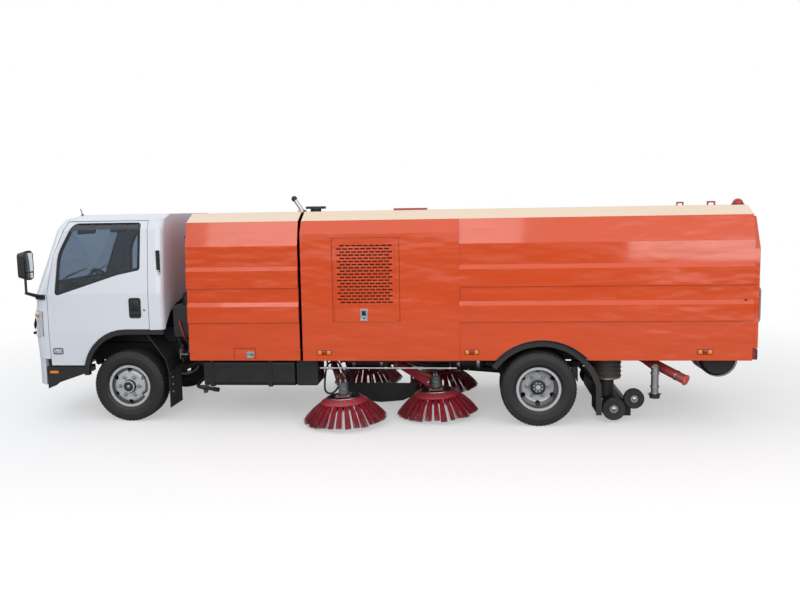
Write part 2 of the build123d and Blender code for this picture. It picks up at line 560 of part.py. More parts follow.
for name, side in SIDES:
    with BuildPart() as wheel_front:
        rim_barrel(front_x, side * front_wheel_y)
        disc(front_x, side * (front_face_y - 30), side * front_face_y, side)
        hand_cutters(front_x, side * front_face_y)
        drum = [(drum_wall_y, hub_radius), (drum_wall_y, drum_radius), (front_face_y - 60, drum_radius),
                (front_face_y - 40, hub_radius + 20), (front_face_y - disc_wall, hub_radius + 20),
                (front_face_y - disc_wall, 0), (front_face_y - 70, 0), (front_face_y - 70, hub_radius)]
        turned(front_x, axle_z, [(side * y, radius) for y, radius in drum])
        cap = [(front_face_y - 1, 0), (front_face_y - 1, hub_radius), (front_hub_y, hub_radius - 12),
               (front_hub_y, 0)]
        turned(front_x, axle_z, [(side * y, radius) for y, radius in cap])
    save(wheel_front, f"wheel_front_{name}")

    with BuildPart() as tyre_front:
        tyre_ring(front_x, side * front_wheel_y)
    save(tyre_front, f"tyre_front_{name}")

    inner_y = rear_inner_y
    with BuildPart() as wheel_rear:
        rim_barrel(rear_x, side * rear_outer_y)
        rim_barrel(rear_x, side * inner_y)
        disc(rear_x, side * (rear_face_y + 32), side * rear_face_y, side)
        hand_cutters(rear_x, side * rear_face_y)
        disc(rear_x, side * (inner_y + 60), side * rear_inner_face_y, side)
        spacer = [(rear_inner_face_y - 1, 0), (rear_inner_face_y - 1, disc_radius - 10),
                  (rear_face_y - 5, disc_radius - 10), (rear_face_y - 5, 0)]
        turned(rear_x, axle_z, [(side * y, radius) for y, radius in spacer])
        flange = [(rear_face_y - 1, 0), (rear_face_y - 1, hub_radius + 8), (rear_hub_y - 20, hub_radius + 2),
                  (rear_hub_y, hub_radius - 20), (rear_hub_y, 0)]
        turned(rear_x, axle_z, [(side * y, radius) for y, radius in flange])
        shaft_hole = axle_shaft_radius + seat_gap
        drum_start = backplate_y + running_gap + 8
        drum = [(drum_start, shaft_hole), (drum_start, drum_radius), (inner_y + 60, drum_radius),
                (rear_inner_face_y - disc_wall + 1, hub_radius),
                (rear_inner_face_y - disc_wall + 1, shaft_hole)]
        turned(rear_x, axle_z, [(side * y, radius) for y, radius in drum])
    save(wheel_rear, f"wheel_rear_{name}")

    with BuildPart() as tyre_rear:
        tyre_ring(rear_x, side * rear_outer_y)
        tyre_ring(rear_x, side * inner_y)
    save(tyre_rear, f"tyre_rear_{name}")

    with BuildPart() as knuckle:
        fork_y = sorted((side * (kingpin_y - 42), side * (kingpin_y + 38)))
        for low, high in ((axle_z - 96, axle_z - 46), (axle_z + 51, axle_z + 100)):
            block((front_x - 40, front_x + 40), fork_y, (low, high))
        block((front_x - 40, front_x + 40), sorted((side * (kingpin_y + 37), side * (kingpin_y + 48))),
              (axle_z - 96, axle_z + 100))
        bar((front_x, side * (kingpin_y + 40), axle_z),
            (front_x, side * (front_face_y - 70 - seat_gap), axle_z), 30)
        bar((front_x, side * kingpin_y, axle_z - 97), (front_x, side * kingpin_y, axle_z + 101),
            pin_radius + seat_gap, mode=Mode.SUBTRACT)
        block((front_x - 230, front_x - 30), sorted((side * (kingpin_y - 40), side * (kingpin_y - 5))),
              (axle_z - 92, axle_z - 66))
    save(knuckle, f"knuckle_{name}")

# ---------------------------------------------------------------- cab
# height, front, half width, front corner radius
cab_sections = ((620.0, 1050.0, 985.0, 150.0),
                (1020.0, 1075.0, 1003.0, 170.0),
                (1430.0, 1055.0, 1000.0, 190.0),
                (2130.0, 800.0, 925.0, 170.0),
                (2240.0, 715.0, 860.0, 140.0),
                (2290.0, 560.0, 700.0, 110.0))
cab_rear_radius = 70.0
cab_floor_z = 985.0
cab_skirt_z = 632.0


def cab_solid(inset, mode=Mode.ADD):
    """The cab's closed form, taken in by an inset on every side."""
    rows = [rounded_section(height - (inset if height > door_top_z else 0), front_x + front - inset,
                            cab_rear_x + inset, half - inset, radius - inset * 0.6,
                            cab_rear_radius - inset * 0.5)
            for height, front, half, radius in cab_sections]
    loft(rows, ruled=True, mode=mode)


# door: hinge line in front, lock line behind, in side view from the front axle
door_front_line = ((868.0, 1430.0), (795.0, 1860.0))      # ahead of the axle, height
door_top_x = 625.0
door_top_z = 2222.0
door_rear = -285.0
door_gap = 6.0
# the door window's corners: ahead of the axle, height, corner radius
window_corners = ((782.0, 1406.0, 34.0), (56.0, 1636.0, 300.0), (-192.0, 1686.0, 34.0),
                  (-206.0, 2200.0, 42.0), (560.0, 2200.0, 110.0), (738.0, 1870.0, 500.0))
# lower edge of the cab's rear wall, round the engine: half width, height
tunnel_line = ((940.0, 1034.0), (925.0, 1077.0), (795.0, 1200.0), (600.0, 1282.0), (200.0, 1350.0))
arch_points = [(cab_arch_radius * math.cos(math.radians(a)),
                cab_arch_z + cab_arch_radius * math.sin(math.radians(a))) for a in range(10, 91, 10)]


def door_outline(shrink):
    """Side-view outline of a door: straight rear, a lower edge that follows the wheel arch."""
    lower = [(front_x + x - shrink * 0.4, z + shrink) for x, z in arch_points]
    rear = front_x + door_rear + shrink
    front = [(front_x + x - shrink, z) for x, z in door_front_line]
    return ([(rear, cab_arch_z + cab_arch_radius + shrink)] + lower[::-1]
            + [(front_x + 477 + shrink, cab_skirt_z + shrink), (front[0][0], cab_skirt_z + shrink)]
            + front + [(front_x + door_top_x - shrink, door_top_z - shrink), (rear, door_top_z - shrink)])


def window_cutter(shrink, y):
    """The door window's opening, taken in all round, carried from one y to another."""
    with BuildPart(mode=Mode.PRIVATE) as cutter:
        with BuildSketch(Plane.XZ.offset(-y[0])) as outline:
            with BuildLine():
                Polyline(*[(front_x + x, z) for x, z, radius in window_corners], close=True)
            make_face()
            for x, z, radius in window_corners:
                fillet(outline.vertices().sort_by_distance((front_x + x, z))[0], radius)
            if shrink:
                offset(amount=-shrink)
        extrude(amount=-(y[1] - y[0]))
    return cutter.part


def tunnel_points(shrink):
    """The opening round the engine in the cab's rear wall, seen from behind."""
    left = [(half - shrink, height - shrink) for half, height in tunnel_line]
    return left + [(-half, height) for half, height in left[::-1]]


def wheel_arches():
    """Everything below the arches and the cab floor, cut away on both sides."""
    for side in (1, -1):
        y = sorted((side * 380, side * 1100))
        bar((front_x, y[0], cab_arch_z), (front_x, y[1], cab_arch_z), cab_arch_radius, mode=Mode.SUBTRACT)
        block((cab_rear_x - 10, front_x), y, (500, cab_arch_z + cab_arch_radius), mode=Mode.SUBTRACT)


windscreen_half = 790.0
windscreen_z = (1500.0, 2150.0)
rear_window_half = 235.0
rear_window_z = (1560.0, 2020.0)
front_panel_z = 712.0
glass_wall = 6.0


def window_block(part, shrink, mode):
    """The windscreen's or the rear window's opening, shrunk by a clearance."""
    if part == "windscreen":
        block((front_x + 500, front_x + 1150), (-windscreen_half + shrink, windscreen_half - shrink),
              (windscreen_z[0] + shrink, windscreen_z[1] - shrink), mode=mode)
    else:
        block((cab_rear_x - 10, cab_rear_x + 200), (-rear_window_half + shrink, rear_window_half - shrink),
              (rear_window_z[0] + shrink, rear_window_z[1] - shrink), mode=mode)


with BuildPart() as cab_shell:
    cab_solid(0)
    cab_solid(cab_wall, mode=Mode.SUBTRACT)
    block((front_x + 400, front_x + 1200), (-1100, 1100), (500, front_panel_z), mode=Mode.SUBTRACT)
    wheel_arches()
    block((cab_rear_x - 10, front_x - 100), (-1100, 1100), (500, cab_arch_z + cab_arch_radius),
          mode=Mode.SUBTRACT)
    for side in (1, -1):
        across(door_outline(0), sorted((side * 780, side * 1100)), mode=Mode.SUBTRACT)
    window_block("windscreen", 0, Mode.SUBTRACT)
    window_block("rear", 0, Mode.SUBTRACT)
    along(tunnel_points(0), (cab_rear_x - 1, cab_rear_x + cab_wall + 3), mode=Mode.SUBTRACT)
    # inner front wall with the two hinge plates
    block((front_x + 865, front_x + 1035), (-830, 830), (front_panel_z, front_panel_z + 60))
    for side in (1, -1):
        plate = sorted((side * (frame_half + 10), side * (frame_half + 35)))
        across([(cab_hinge_x - 30, cab_hinge_z - 30), (cab_hinge_x + 30, cab_hinge_z - 30),
                (cab_hinge_x + 60, front_panel_z + 10), (cab_hinge_x - 30, front_panel_z + 10)], plate)
    bar((cab_hinge_x, -hinge_pin_half - 5, cab_hinge_z), (cab_hinge_x, hinge_pin_half + 5, cab_hinge_z),
        cab_hinge_radius + seat_gap, mode=Mode.SUBTRACT)
save(cab_shell, "cab_shell")

with BuildPart() as glass_openings:
    window_block("windscreen", seat_gap, Mode.ADD)
    window_block("rear", seat_gap, Mode.ADD)

with BuildPart() as cab_glass:
    cab_solid(12)
    cab_solid(12 + glass_wall, mode=Mode.SUBTRACT)
    add(glass_openings.part, mode=Mode.INTERSECT)
save(cab_glass, "cab_glass")

floor_z = (cab_arch_z + cab_arch_radius + seat_gap, 1075.0)
dash_half = 895.0
wheel_hub = (front_x + 430.0, 470.0, 1490.0)
with BuildPart() as cab_interior:
    block((cab_rear_x + cab_wall + seat_gap, front_x + 975), (-dash_half, dash_half), floor_z)
    # bulkhead that closes the cab's rear wall round the engine
    along(tunnel_points(2 * seat_gap), (cab_rear_x + 5, cab_rear_x + cab_wall + seat_gap + 1))
    across([(front_x + 660, floor_z[1] - 1), (front_x + 620, 1250), (front_x + 600, 1400),
            (front_x + 700, 1440), (front_x + 930, 1430), (front_x + 960, floor_z[1] - 1)],
           (-dash_half, dash_half))
    # engine hump between the seats
    block((front_x - 390, front_x + 560), (-230, 130), (floor_z[1] - 1, 1230))
    bar((front_x + 640, wheel_hub[1], 1330), wheel_hub, 32)
    with Locations(Plane(origin=wheel_hub, z_dir=(-0.8, 0, 0.6))):
        Torus(215, 15)
        Box(420, 44, 14)
        Cylinder(48, 40)
save(cab_interior, "cab_interior")

# middle y, half width of each seat
seat_table = ((500.0, 250.0), (-540.0, 310.0))
seat_x = (front_x - 270.0, front_x + 240.0)
with BuildPart() as cab_seats:
    for y, half in seat_table:
        across([(seat_x[0] + 60, floor_z[1] + seat_gap), (seat_x[0] + 60, 1240), (seat_x[1] - 60, 1240),
                (seat_x[1] - 60, floor_z[1] + seat_gap)], (y - half + 60, y + half - 60))
        across([(seat_x[0], 1239), (seat_x[0], 1360), (seat_x[1], 1385), (seat_x[1], 1239)],
               (y - half, y + half))
        across([(seat_x[0] - 90, 1300), (seat_x[0] - 112, 2010), (seat_x[0] - 20, 2010),
                (seat_x[0] + 90, 1380), (seat_x[0] + 90, 1300)], (y - half, y + half))
save(cab_seats, "cab_seats")

grille_half = 560.0
with BuildPart() as grille_area:
    for low in range(975, 1240, 56):
        block((front_x + 900, front_x + 1200), (-grille_half, grille_half), (low, low + 40))
    block((front_x + 900, front_x + 1200), (-grille_half, grille_half), (955, 976))
    for y in (-grille_half, -12, grille_half - 24):
        block((front_x + 900, front_x + 1200), (y, y + 24), (955, 1240))

with BuildPart() as front_grille:
    cab_solid(-6)
    cab_solid(-seat_gap, mode=Mode.SUBTRACT)
    add(grille_area.part, mode=Mode.INTERSECT)

flare_y = (955.0, 1010.0)
# side view of the wedge-shaped step in front of the wheel: ahead of the axle, height
step_line = ((925.0, 373.0), (925.0, 622.0), (372.0, 622.0),
             (385.0, 579.0), (590.0, 511.0), (864.0, 419.0))
step_y = (800.0, 978.0)
steered_tyre_x = 452.0         # a steered front tyre sweeps behind this, inboard of the flare
steered_tyre_z = (500.0, 640.0)
with BuildPart() as cab_trim:
    for side in (1, -1):
        y = sorted((side * flare_y[0], side * flare_y[1]))
        bar((front_x, y[0], cab_arch_z), (front_x, y[1], cab_arch_z), cab_arch_radius - seat_gap)
        bar((front_x, y[0] - 1, cab_arch_z), (front_x, y[1] + 1, cab_arch_z), cab_arch_radius - 55,
            mode=Mode.SUBTRACT)
        block((front_x - 600, front_x), (y[0] - 1, y[1] + 1), (cab_arch_z - 600, cab_arch_z + 600),
              mode=Mode.SUBTRACT)
        block((front_x - 10, front_x + 600), (y[0] - 1, y[1] + 1), (cab_arch_z - 600, cab_arch_z - 20),
              mode=Mode.SUBTRACT)
        block((cab_rear_x, front_x + 20), y,
              (cab_arch_z + cab_arch_radius - 52, cab_arch_z + cab_arch_radius - seat_gap))
    for side in (1, -1):
        across([(front_x + x, z) for x, z in step_line], sorted((side * step_y[0], side * step_y[1])))
        block((front_x + step_line[2][0] - 10, front_x + steered_tyre_x),
              sorted((side * (step_y[0] - 10), side * flare_y[0])), steered_tyre_z, mode=Mode.SUBTRACT)
        block((front_x + 845, front_x + 925), sorted((side * 790, side * 925)),
              (560, front_panel_z - seat_gap))
    add(front_grille.part)
save(cab_trim, "cab_trim")

lamp_z = (965.0, 1245.0)
lamp_y = (640.0, 1010.0)
with BuildPart() as lamp_areas:
    for side in (1, -1):
        block((front_x + 925, front_x + 1200), sorted((side * lamp_y[0], side * 1100)), lamp_z)

with BuildPart() as headlamps:
    cab_solid(-10)
    cab_solid(-seat_gap, mode=Mode.SUBTRACT)
    add(lamp_areas.part, mode=Mode.INTERSECT)
save(headlamps, "headlamps")

# half of the bumper's front line: distance ahead of the axle, y
bumper_line = ((1120.0, 0.0), (1110.0, 450.0), (1085.0, 760.0),
               (1040.0, 900.0), (960.0, 975.0), (935.0, 985.0))
bumper_wall = 60.0


def bumper_plan(back, narrow):
    """The bumper's plan, moved back and made narrower at each end."""
    share = 1 - narrow / bumper_line[-1][1]
    left = [(front_x + x - back, y * share) for x, y in bumper_line]
    return left + [(x, -y) for x, y in left[:0:-1]]


with BuildPart() as front_bumper:
    upright(bumper_plan(0, 0), (420, front_panel_z - seat_gap))
    upright(bumper_plan(bumper_wall, bumper_wall), (419, front_panel_z), mode=Mode.SUBTRACT)
    for side in (1, -1):
        block((front_x + 950, front_x + 1060), sorted((side * 415, side * 445)),
              (600, front_panel_z - seat_gap))
save(front_bumper, "front_bumper")

# ---------------------------------------------------------------- mirrors
mirror_head = ((908.0, 1000.0), (1150.0, 1330.0), (1612.0, 1925.0))      # ahead of the axle, y, z
with BuildPart() as mirror_feet:
    for side in (1, -1):
        block((front_x + 885, front_x + 1010), sorted((side * 880, side * 1100)), (1375, 1428))

with BuildPart() as mirrors:
    # feet that follow the cab's corner
    cab_solid(-22)
    cab_solid(-seat_gap, mode=Mode.SUBTRACT)
    add(mirror_feet.part, mode=Mode.INTERSECT)
    for side in (1, -1):
        y = sorted((side * mirror_head[1][0], side * mirror_head[1][1]))
        with BuildSketch(Plane.YZ.offset(front_x + mirror_head[0][0])):
            with Locations(((y[0] + y[1]) / 2, (mirror_head[2][0] + mirror_head[2][1]) / 2)):
                RectangleRounded(y[1] - y[0], mirror_head[2][1] - mirror_head[2][0], 60)
        extrude(amount=mirror_head[0][1] - mirror_head[0][0], taper=16)
        middle = (front_x + 960, side * 1235)
        bar((middle[0], middle[1], 1463), (middle[0], middle[1], 1700), 13)
        bar((front_x + 985, side * 978, 1402), (middle[0], middle[1] + side * 12, 1470), 13)
        bar((front_x + 905, side * 1014, 1412), (middle[0], middle[1], 1475), 11)
save(mirrors, "mirrors")

# ---------------------------------------------------------------- doors and their glass
for name, side in SIDES:
    y = sorted((side * 780, side * 1100))
    window = window_cutter(0, y)
    window_glass = window_cutter(seat_gap, y)
    with BuildPart() as door_area:
        across(door_outline(door_gap), y)
        add(window, mode=Mode.SUBTRACT)

    with BuildPart() as door:
        cab_solid(0)
        cab_solid(cab_wall, mode=Mode.SUBTRACT)
        add(door_area.part, mode=Mode.INTERSECT)
        wheel_arches()
        # pull handle in its recess
        block((front_x - 200, front_x - 60), sorted((side * 985, side * 1004)), (1290, 1312))
    save(door, f"door_{name}")

    with BuildPart() as door_glass:
        cab_solid(14)
        cab_solid(14 + glass_wall, mode=Mode.SUBTRACT)
        add(window_glass, mode=Mode.INTERSECT)
    save(door_glass, f"door_glass_{name}")

# ---------------------------------------------------------------- hopper
cover_top_z = 2056.0
grille_door_x = (front_x - 3035.0, front_x - 2335.0)
grille_door_z = (1130.0, 2005.0)
grille_x = (front_x - 2972.0, front_x - 2378.0)
grille_z = (1320.0, 1945.0)
grille_rows = 19
grille_columns = 9
slot_size = (50.0, 15.0)
slot_pitch = ((grille_x[1] - grille_x[0]) / (grille_columns + 0.5), (grille_z[1] - grille_z[0]) / grille_rows)
ear_y = (frame_half + 10, frame_half + 35)
rear_frame = 60.0
with BuildPart() as hopper_shell:
    along(body_outline(0), (hopper_rear_x, hopper_front_x))
    # the hood over the auxiliary engine, open below
    along(body_outline(panel_wall, skirt_z - 1), (cover_rear_x, hopper_front_x - panel_wall),
          mode=Mode.SUBTRACT)
    # the load space, open at the back
    along(body_outline(panel_wall, hopper_floor_z), (hopper_rear_x - 1, cover_rear_x - 2 * panel_wall),
          mode=Mode.SUBTRACT)
    # below the floor, between the side panels
    block((hopper_rear_x - 1, cover_rear_x + 1), (-body_half + panel_wall, body_half - panel_wall),
          (skirt_z - 1, hopper_floor_z - floor_wall), mode=Mode.SUBTRACT)
    block((hopper_front_x - panel_wall - 1, hopper_front_x + 1), (-frame_half - 130, frame_half + 130),
          (skirt_z - 1, frame_top + 120), mode=Mode.SUBTRACT)
    ribs((hopper_rear_x, cover_rear_x + 1))
    for side in (1, -1):
        # flat side cover
        along([(side * (body_half - 1), skirt_z), (side * (body_half + rib_depth), skirt_z),
               (side * (body_half + rib_depth), cover_top_z), (side * (shoulder_half + 4), shoulder_z),
               (side * (shoulder_half - 5), shoulder_z), (side * (body_half - 1), side_top_z)],
              (cover_rear_x, hopper_front_x))
        # longitudinal bearers over the frame's rails
        bearer = sorted((side * (frame_half - 65), side * frame_half))
        block((hopper_hinge_x + 62, cover_rear_x - 40), bearer, (frame_top + seat_gap, hopper_floor_z - 10))
        plate = sorted((side * ear_y[0], side * ear_y[1]))
        across([(hopper_hinge_x - 45, hopper_hinge_z - 40), (hopper_hinge_x + 45, hopper_hinge_z - 40),
                (hopper_hinge_x + 120, hopper_floor_z - 10),
                (hopper_hinge_x - 60, hopper_floor_z - 10)], plate)
        # wheel arch
        bar((wheel_arch[0], side * (body_half - panel_wall - 5), wheel_arch[1]),
            (wheel_arch[0], side * (body_half + rib_depth + 5), wheel_arch[1]), wheel_arch[2],
            mode=Mode.SUBTRACT)
        # grille door's seat
        y = sorted((side * (body_half + 1), side * (body_half + rib_depth + 5)))
        block((grille_door_x[0] - running_gap, grille_door_x[1] + running_gap), y,
              (grille_door_z[0] - running_gap, grille_door_z[1] + running_gap), mode=Mode.SUBTRACT)
        block(grille_x, sorted((side * (body_half - panel_wall - 5), side * (body_half + 5))), grille_z,
              mode=Mode.SUBTRACT)
    bar((hopper_hinge_x, -hinge_pin_half - 5, hopper_hinge_z),
        (hopper_hinge_x, hinge_pin_half + 5, hopper_hinge_z), hopper_hinge_radius + seat_gap,
        mode=Mode.SUBTRACT)
    # ears on both sides of the lift cylinder's eye
    for y in (-lift_ear_y - lift_ear_wall, lift_ear_y):
        across([(lift_eye[0] - 60, hopper_floor_z - 10), (lift_eye[0] - 26, lift_eye[1] - 26),
                (lift_eye[0] + 26, lift_eye[1] - 26), (lift_eye[0] + 60, hopper_floor_z - 10)],
               (y, y + lift_ear_wall))
    # drop-through collar over the suction duct
    bar((duct_x, duct_y, hopper_floor_z - floor_wall - 1), (duct_x, duct_y, hopper_floor_z + 1),
        duct_radius - 12, mode=Mode.SUBTRACT)
save(hopper_shell, "hopper_shell")

for name, side in SIDES:
    y = sorted((side * (body_half + 1 + seat_gap), side * (body_half + rib_depth)))
    with BuildPart() as grille_door:
        block(grille_door_x, y, grille_door_z)
        fillet(grille_door.edges().filter_by(Axis.Y), 40)
        # short slots, every other row moved on by half a pitch
        with BuildSketch(Plane.XZ.offset(-y[0] + 1)):
            for row in range(grille_rows):
                first = grille_x[0] + slot_pitch[0] * (0.5 + row % 2 / 2)
                height = grille_z[0] + slot_pitch[1] * (row + 0.5)
                with Locations(*[(first + slot_pitch[0] * i, height) for i in range(grille_columns)]):
                    Rectangle(*slot_size)
        extrude(amount=-(y[1] - y[0] + 2), mode=Mode.SUBTRACT)
    save(grille_door, f"grille_door_{name}")

# ---------------------------------------------------------------- rear door and lamps
rear_door_z = (840.0, 2170.0)
rear_door_wall = 55.0
rear_hinge_z = 2200.0
with BuildPart() as rear_door:
    edge = body_half - 15
    along([(-edge, rear_door_z[0]), (edge, rear_door_z[0]), (edge, side_top_z - 90),
           (edge - 160, rear_door_z[1]), (-edge + 160, rear_door_z[1]), (-edge, side_top_z - 90)],
          (hopper_rear_x - seat_gap - rear_door_wall, hopper_rear_x - seat_gap))
    for low, high in rib_rows:
        block((tail_x, hopper_rear_x - 20), (-900, 900), (low, high))
    for y in (-620, 620):
        block((hopper_rear_x - rear_door_wall, hopper_rear_x - 15), (y - 60, y + 60),
              (rear_door_z[1] - 20, rear_hinge_z + 10))
save(rear_door, "rear_door")

with BuildPart() as rear_lamps:
    for side in (1, -1):
        block((hopper_rear_x - 45, hopper_rear_x - seat_gap),
              sorted((side * 930, side * 1095)), (skirt_z + 8, 830))
save(rear_lamps, "rear_lamps")

# ---------------------------------------------------------------- fittings on the roofs
with BuildPart() as roof_fittings:
    # intake cap
    bar((front_x - 2060, 500, roof_z + seat_gap), (front_x - 2060, 500, roof_z + 30), 60)
    bar((front_x - 2060, 500, roof_z + 30), (front_x - 2060, 500, roof_z + 58), 112)
    # lifting loops
    x = front_x - 6290
    for side in (1, -1):
        bar((x - 35, side * 640, roof_z + seat_gap), (x - 35, side * 640, roof_z + 34), 9)
        bar((x + 35, side * 640, roof_z + seat_gap), (x + 35, side * 640, roof_z + 34), 9)
        bar((x - 42, side * 640, roof_z + 34), (x + 42, side * 640, roof_z + 34), 9)
    # hatch
    block((front_x - 3300, front_x - 2950), (420, 720), (roof_z + seat_gap, roof_z + 22))
    # warning lamp
    bar((front_x - 6530, 740, roof_z + seat_gap), (front_x - 6530, 740, roof_z + 12), 64)
    with Locations((front_x - 6530, 740, roof_z + 11)):
        Sphere(54, arc_size1=0, align=(Align.CENTER, Align.CENTER, Align.MIN))
save(roof_fittings, "roof_fittings")

# ---------------------------------------------------------------- lift cylinder
lift_run = Vector(lift_eye[0] - lift_base[0], 0, lift_eye[1] - lift_base[1])
lift_length = lift_run.length
lift_way = lift_run.normalized()
barrel_length = 1300.0
barrel_radius = 58.0
barrel_bore = 46.0
rod_radius = 32.0
rod_overlap = 60.0


def on_lift(distance):
    """A point along the lift cylinder, measured from its base pin."""
    return (lift_base[0] + lift_way.X * distance, 0, lift_base[1] + lift_way.Z * distance)


with BuildPart() as lift_barrel:
    bar(on_lift(30), on_lift(barrel_length), barrel_radius)
    bar(on_lift(80), on_lift(barrel_length + 1), barrel_bore, mode=Mode.SUBTRACT)
    bar((lift_base[0], -60, lift_base[1]), (lift_base[0], 60, lift_base[1]), 36)
    bar((lift_base[0], -61, lift_base[1]), (lift_base[0], 61, lift_base[1]), pin_radius + seat_gap,
        mode=Mode.SUBTRACT)
save(lift_barrel, "lift_barrel")

with BuildPart() as lift_rod:
    bar(on_lift(90), on_lift(lift_length - 20), rod_radius)
    bar(on_lift(90), on_lift(140), barrel_bore - seat_gap)
    # eye and pin, which end short of the hopper's ears
    bar((lift_eye[0], -50, lift_eye[1]), (lift_eye[0], 50, lift_eye[1]), 30)
    bar((lift_eye[0], -lift_ear_y + 2, lift_eye[1]), (lift_eye[0], lift_ear_y - 2, lift_eye[1]), pin_radius)
save(lift_rod, "lift_rod")

# ---------------------------------------------------------------- side brushes and their arms
motor_radius = 52.0
shaft_radius = 26.0
tufts = 28
tuft_width = 52.0
tuft_root = (165.0, 249.0)     # radii of a tuft at the plate
tuft_tip = (365.0, brush_radius)
plate_wall = 26.0
flange_wall = 14.0             # of the motor's mounting plate
tip_z = brush_ground_gap + brush_radius * math.sin(math.radians(brush_tilt)) + 4
tuft_drop = brush_plate_z - tip_z
tilt_direction = (math.sin(math.radians(brush_tilt)), 0, math.cos(math.radians(brush_tilt)))
for label, pivot, hub in brush_table:
    for name, side in SIDES:
        tilted = Plane(origin=(hub[0], side * hub[1], brush_plate_z), z_dir=tilt_direction)
        top = (pivot[0], side * pivot[1])
        with BuildPart() as brush:
            with BuildSketch(tilted):
                Circle(brush_plate_radius)
                Circle(shaft_radius + seat_gap, mode=Mode.SUBTRACT)
            extrude(amount=plate_wall)
            for i in range(tufts):
                turned_plane = tilted.rotated((0, 0, 360 / tufts * i))
                blade = Plane(origin=turned_plane.origin, x_dir=turned_plane.x_dir, z_dir=-turned_plane.y_dir)
                tuft = face_on(blade.offset(-tuft_width / 2), [(tuft_root[0], 2), (tuft_root[1], 2),
                                                               (tuft_tip[1], -tuft_drop),
                                                               (tuft_tip[0], -tuft_drop)])
                extrude(tuft, amount=tuft_width)
        save(brush, f"brush_{label}_{name}")

        with BuildPart() as brush_arm:
            bar((top[0], top[1], arm_z - 42), (top[0], top[1], arm_z + 42), 34)
            bar((top[0], top[1], arm_z), (hub[0], side * hub[1], brush_plate_z + plate_wall + 130), 24)
            extrude(face_on(tilted.offset(plate_wall + running_gap),
                            [(-80, -80), (80, -80), (80, 80), (-80, 80)]),
                    amount=flange_wall)
            with BuildSketch(tilted.offset(plate_wall + running_gap)):
                Circle(motor_radius)
            extrude(amount=150)
            with BuildSketch(tilted.offset(-4)):
                Circle(shaft_radius)
            extrude(amount=60)
            bar((top[0], top[1], arm_z - 43), (top[0], top[1], arm_z + 43), pin_radius + seat_gap,
                mode=Mode.SUBTRACT)
        save(brush_arm, f"brush_arm_{label}_{name}")
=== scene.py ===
import itertools
import math
import random

import bmesh
import bpy
from mathutils import Matrix, Vector
from mathutils.bvhtree import BVHTree


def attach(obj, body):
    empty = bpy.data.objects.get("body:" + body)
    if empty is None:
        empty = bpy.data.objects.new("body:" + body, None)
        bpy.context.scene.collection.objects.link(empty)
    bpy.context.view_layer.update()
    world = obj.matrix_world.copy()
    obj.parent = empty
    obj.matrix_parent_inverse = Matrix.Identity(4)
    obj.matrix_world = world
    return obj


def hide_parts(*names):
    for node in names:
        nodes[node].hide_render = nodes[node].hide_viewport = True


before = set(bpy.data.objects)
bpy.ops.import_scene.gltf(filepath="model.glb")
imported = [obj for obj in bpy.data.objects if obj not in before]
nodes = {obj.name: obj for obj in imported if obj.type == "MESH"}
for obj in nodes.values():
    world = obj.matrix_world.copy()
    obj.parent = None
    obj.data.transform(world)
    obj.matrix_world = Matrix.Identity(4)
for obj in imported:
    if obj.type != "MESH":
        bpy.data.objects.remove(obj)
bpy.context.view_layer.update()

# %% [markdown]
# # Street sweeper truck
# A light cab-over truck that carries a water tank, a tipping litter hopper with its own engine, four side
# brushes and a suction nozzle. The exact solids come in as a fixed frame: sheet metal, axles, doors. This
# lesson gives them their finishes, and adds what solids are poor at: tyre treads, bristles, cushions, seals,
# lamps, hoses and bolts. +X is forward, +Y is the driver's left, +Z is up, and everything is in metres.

front_axle_x = 2.780
rear_axle_x = front_axle_x - 4.475
axle_z = 0.3985
body_half = 1.110            # flat side of the bodywork
cover_half = 1.130           # proud ribs and the flat side cover
sides = (("left", 1), ("right", -1))
forward, leftward, upward = (Vector(way) for way in ((1, 0, 0), (0, 1, 0), (0, 0, 1)))
backward = -forward

# %% [markdown]
# ## The camera
# A long side-on object wants a camera far enough away that its wheels stay round. This one stands about nine
# metres off the left side, above standing height, a little behind the middle, and it is rolled by one degree.
# The lens is given in millimetres on a 36 mm wide sensor. Depth of field stays off, so that every view is
# sharp.

# %% Camera
camera_place = Vector((-1.0154, 9.4065, 2.3003))
camera_turn, camera_dip, camera_roll = (math.radians(angle) for angle in (5.2115, -6.462, -0.9666))
looking = Vector((math.sin(camera_turn) * math.cos(camera_dip), -math.cos(camera_turn) * math.cos(camera_dip),
    math.sin(camera_dip)))
level_right = looking.cross(upward).normalized()
level_up = level_right.cross(looking)
right = math.cos(camera_roll) * level_right + math.sin(camera_roll) * level_up
up = right.cross(looking)
camera_data = bpy.data.cameras.new("side_camera")
camera_data.sensor_width = 36
camera_data.lens = 36.23
camera_data.clip_end = 200
camera = bpy.data.objects.new("side_camera", camera_data)
bpy.context.scene.collection.objects.link(camera)
camera.matrix_world = Matrix.Translation(camera_place) @ Matrix((right, up, -looking)).transposed().to_4x4()
bpy.context.scene.camera = camera
print("camera at", [round(value, 2) for value in camera_place], "lens", camera_data.lens)

# %% [markdown]
# ## Colours
# Paint charts and screens give colours as sRGB hex values, and the renderer works in linear light, where half
# as bright is half the number. One function turns the first into the second, so every colour below can be
# written as a person would pick it.

# %% From hex to linear light
def linear(hex_colour):
    """Linear RGBA of a colour written as six sRGB hex digits."""
    channels = [int(hex_colour[start:start + 2], 16) / 255 for start in (0, 2, 4)]
    return [value / 12.92 if value <= 0.04045 else ((value + 0.055) / 1.055) ** 2.4
        for value in channels] + [1.0]


print("mid grey is", [round(value, 3) for value in linear("808080")[:3]])

# %% [markdown]
# ## Adding a node
# Every material is a small network. One function adds a node, sets its properties, and fills its sockets: a
# number or a colour is typed in, and another node's output is linked. Scales are given per metre, so a
# pattern that repeats every 4 mm has a scale of 250.

